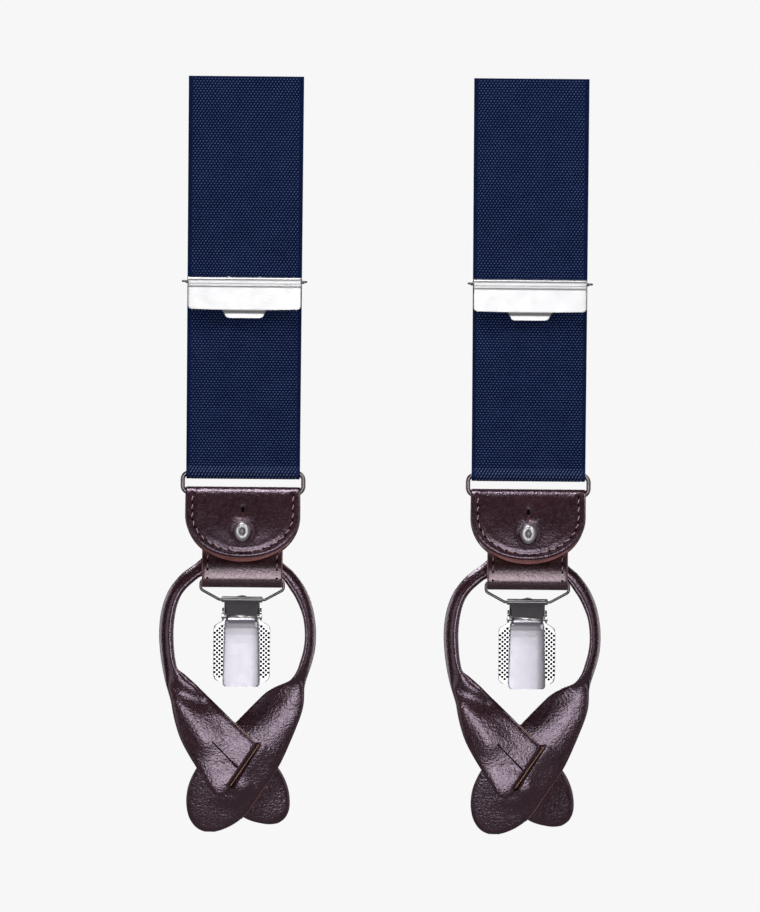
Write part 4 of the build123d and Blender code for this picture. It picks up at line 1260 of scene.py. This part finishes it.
for tag, sx in (("left", -1), ("right", 1)):
    # webbing: front layer with the fold round the ring
    path = np.vstack([[(0, 0)], [(0, -120.5)], arc_yz(1.45, -120.5, 1.45, 180, 360, 22)[1:]])
    ob, L = web_strip(tag + "_webbing_front", path, 17.55, 17.3, sx)
    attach(ob, "straps")
    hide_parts(tag + "_webbing", tag + "_webbing_fold")
    # rear layer up to the adjuster and its sewn end
    end = np.vstack([[(2.9, -120.5)], [(2.9, -62.5)], arc_yz(4.25, -62.5, 1.35, 180, 0, 20)[1:],
                     smooth_curve([(5.6, -63.0), (5.55, -67.0), (5.0, -71.5), (4.35, -75.0), (4.26, -78.0), (4.26, -84.8)], 40)])
    ob, L2 = web_strip(tag + "_webbing_rear", end, 17.3, 17.3, sx, v0=L, relief=0.04)
    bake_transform(ob)
    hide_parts(tag + "_webbing_return", tag + "_webbing_end")
    st = []
    for row in (-77.4, -83.0):
        for i in range(14):
            x = -15.9 + 2.4 * i
            st.append(stitch((x - 0.85, 4.26 + 0.66, row - 0.15), (x + 0.85, 4.26 + 0.66, row + 0.15), r=0.2, sink=0.2, bow=0.14, out=(0, 1, 0)))
    v, f = merge(st)
    ob = build(tag + "_webbing_thread", v, f, M["web_thread"], sx)
    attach(ob, tag + "_adjuster")
    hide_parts(tag + "_webbing_stitching")
    # adjuster
    cover, lug = adjuster(sx, tag)
    for o in (cover, lug):
        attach(o, tag + "_adjuster_lever")
    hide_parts(tag + "_adjuster_cover")
    fw, pin = adjuster_frame(sx, tag)
    for o in (fw, pin):
        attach(o, tag + "_adjuster")
    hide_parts(tag + "_adjuster_frame")
    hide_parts(tag + "_adjuster_pin")
    for nd in ("adjuster_teeth", "clip_pin", "stud_base"):
        bevelled(tag + "_" + nd, M["nickel"])
    for nd in ("clip_rear_pad", "clip_front_pad"):
        bevelled(tag + "_" + nd, M["rubber"], 0.2)
    # ring
    ob = wire_ring(sx, tag)
    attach(ob, tag + "_ring")
    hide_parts(tag + "_strap_ring")
    # leather tab
    flap = front_flap(sx, tag)
    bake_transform(flap)
    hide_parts(tag + "_tab_flap")
    lin = flap_lining(sx, tag)
    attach(lin, tag + "_flap")
    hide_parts(tag + "_flap_lining")
    a, b = flap_stitches(sx, tag)
    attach(a, tag + "_flap")
    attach(b, tag + "_flap")
    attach(keyhole_shadow(sx, tag), tag + "_flap")
    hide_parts(tag + "_flap_stitching")
    rear = rear_leather(sx, tag)
    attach(rear, tag + "_tab")
    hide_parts(tag + "_tab_back")
    stud = ball_stud(sx, tag)
    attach(stud, tag + "_tab")
    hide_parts(tag + "_stud")
    t, e, a, b = clip_tab(sx, tag)
    for o in (t, e, a, b):
        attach(o, tag + "_tab")
    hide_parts(tag + "_clip_tab")
    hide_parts(tag + "_clip_tab_stitching")
    head = section_rows([((0, 4.5, -135.4), (5.6, 0, 0), (0, -1.2, 0), 4), ((0, 4.5, -138.0), (6.2, 0, 0), (0, -1.25, 0), 4),
                         ((0, 4.5, -142.0), (7.4, 0, 0), (0, -1.25, 0), 4), ((0, 4.5, -145.0), (10.4, 0, 0), (0, -1.25, 0), 4),
                         ((0, 4.5, -147.6), (11.6, 0, 0), (0, -1.1, 0), 3)], 48)
    ob = build(tag + "_loop_head_leather", head, loft_faces(5, 48), M["leather"], sx)
    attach(ob, tag + "_tab")
    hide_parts(tag + "_loop_head")
    # button loop
    parts = button_loop(sx, tag)
    left_leather, right_leather = parts[0], parts[2]
    for o in parts:
        if o not in (left_leather, right_leather):
            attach(o, tag + "_loop")
    for o in (left_leather, right_leather):
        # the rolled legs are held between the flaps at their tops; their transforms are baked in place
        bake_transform(o)
    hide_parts(tag + "_loop_cord", tag + "_loop_left_paddle")
    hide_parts(tag + "_loop_right_paddle")
    # clip
    ob = clip_wire(sx, tag)
    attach(ob, tag + "_wire")
    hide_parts(tag + "_clip_wire")
    c = clip(sx, tag)
    for o in c["clip"]:
        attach(o, tag + "_clip")
    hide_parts(tag + "_clip_body")
    for o in c["spring"]:
        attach(o, tag + "_clip")
    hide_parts(tag + "_clip_spring")
    for o in c["jaw"]:
        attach(o, tag + "_clip_jaw")
    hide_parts(tag + "_clip_jaw")
    for o in c["lever"]:
        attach(o, tag + "_clip_lever")
    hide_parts(tag + "_clip_lever")

# ------------------------------------------------------------------ stage, light, camera
bpy.ops.mesh.primitive_plane_add(size=8.0, location=(0, 0, -0.60))
floor = bpy.context.object
floor.name = "floor"
fm, fnt, fb = simple("pale_floor", (0.24, 0.235, 0.24), 0.9, spec=0.1)
floor.data.materials.append(fm)
flp = fnt.nodes.new("ShaderNodeLightPath")
fem = fnt.nodes.new("ShaderNodeEmission")
fem.inputs["Color"].default_value = (0.90, 0.90, 0.902, 1)
fmix = fnt.nodes.new("ShaderNodeMixShader")
fnt.links.new(flp.outputs["Is Camera Ray"], fmix.inputs[0])
fnt.links.new(fb.outputs[0], fmix.inputs[1])
fnt.links.new(fem.outputs[0], fmix.inputs[2])
fnt.links.new(fmix.outputs[0], fnt.nodes["Material Output"].inputs["Surface"])

scene = bpy.context.scene
world = bpy.data.worlds.new("studio")
scene.world = world
world.use_nodes = True
wn = world.node_tree
bg = wn.nodes.get("Background")
bg.inputs["Color"].default_value = (0.930, 0.930, 0.930, 1)
bg.inputs["Strength"].default_value = 1.0
lp = wn.nodes.new("ShaderNodeLightPath")
bg2 = wn.nodes.new("ShaderNodeBackground")
bg2.inputs["Color"].default_value = (0.036, 0.024, 0.031, 1)
bg2.inputs["Strength"].default_value = 1.0
mixs = wn.nodes.new("ShaderNodeMixShader")
wn.links.new(lp.outputs["Is Camera Ray"], mixs.inputs[0])
wn.links.new(bg2.outputs[0], mixs.inputs[1])
wn.links.new(bg.outputs[0], mixs.inputs[2])
wn.links.new(mixs.outputs[0], wn.nodes["World Output"].inputs["Surface"])


def area(name, loc, target, size, energy, color=(1, 1, 1), size_y=None):
    l = bpy.data.lights.new(name, "AREA")
    l.energy = energy
    l.color = color
    l.size = size
    if size_y:
        l.shape = "RECTANGLE"
        l.size_y = size_y
    o = bpy.data.objects.new(name, l)
    o.location = loc
    d = Vector(target) - Vector(loc)
    o.rotation_euler = d.to_track_quat("-Z", "Y").to_euler()
    scene.collection.objects.link(o)
    return o


CEN = (-0.0018, 0.0, -0.1152)
area("front", (0.0, -1.15, -0.18), (0, 0, -0.15), 0.37, 2.3, size_y=0.41)
area("key", (-0.16, -0.42, 0.80), CEN, 0.42, 3.9, size_y=0.26)
area("key_right", (0.62, -0.50, 0.45), CEN, 0.25, 1.4, size_y=0.35)
area("side_left", (-0.95, -0.70, -0.10), CEN, 0.65, 1.3, size_y=1.0)
area("side_right", (0.95, -0.70, -0.10), CEN, 0.65, 1.3, size_y=1.0)
area("back", (0.1, 1.1, 0.3), CEN, 1.0, 6.0, size_y=0.8)
area("back_left", (-0.95, 0.75, -0.08), CEN, 0.7, 2.9, size_y=1.0)
area("back_right", (0.95, 0.75, -0.08), CEN, 0.7, 2.9, size_y=1.0)
area("back_top", (-0.4, 0.6, 0.6), CEN, 0.4, 3.0, size_y=0.3)

cam = bpy.data.cameras.new("camera")
cam.sensor_width = 36.0
cam.sensor_fit = "AUTO"
D = 2.4
cam.lens = 36.0 * D / 0.27752
cam.clip_start = 0.05
cam.clip_end = 20
co = bpy.data.objects.new("camera", cam)
co.location = (CEN[0], -D, CEN[2])
co.rotation_euler = (math.radians(90), math.radians(-0.5), 0)
scene.collection.objects.link(co)
scene.camera = co
scene.view_settings.view_transform = "Standard"
scene.view_settings.look = "None"
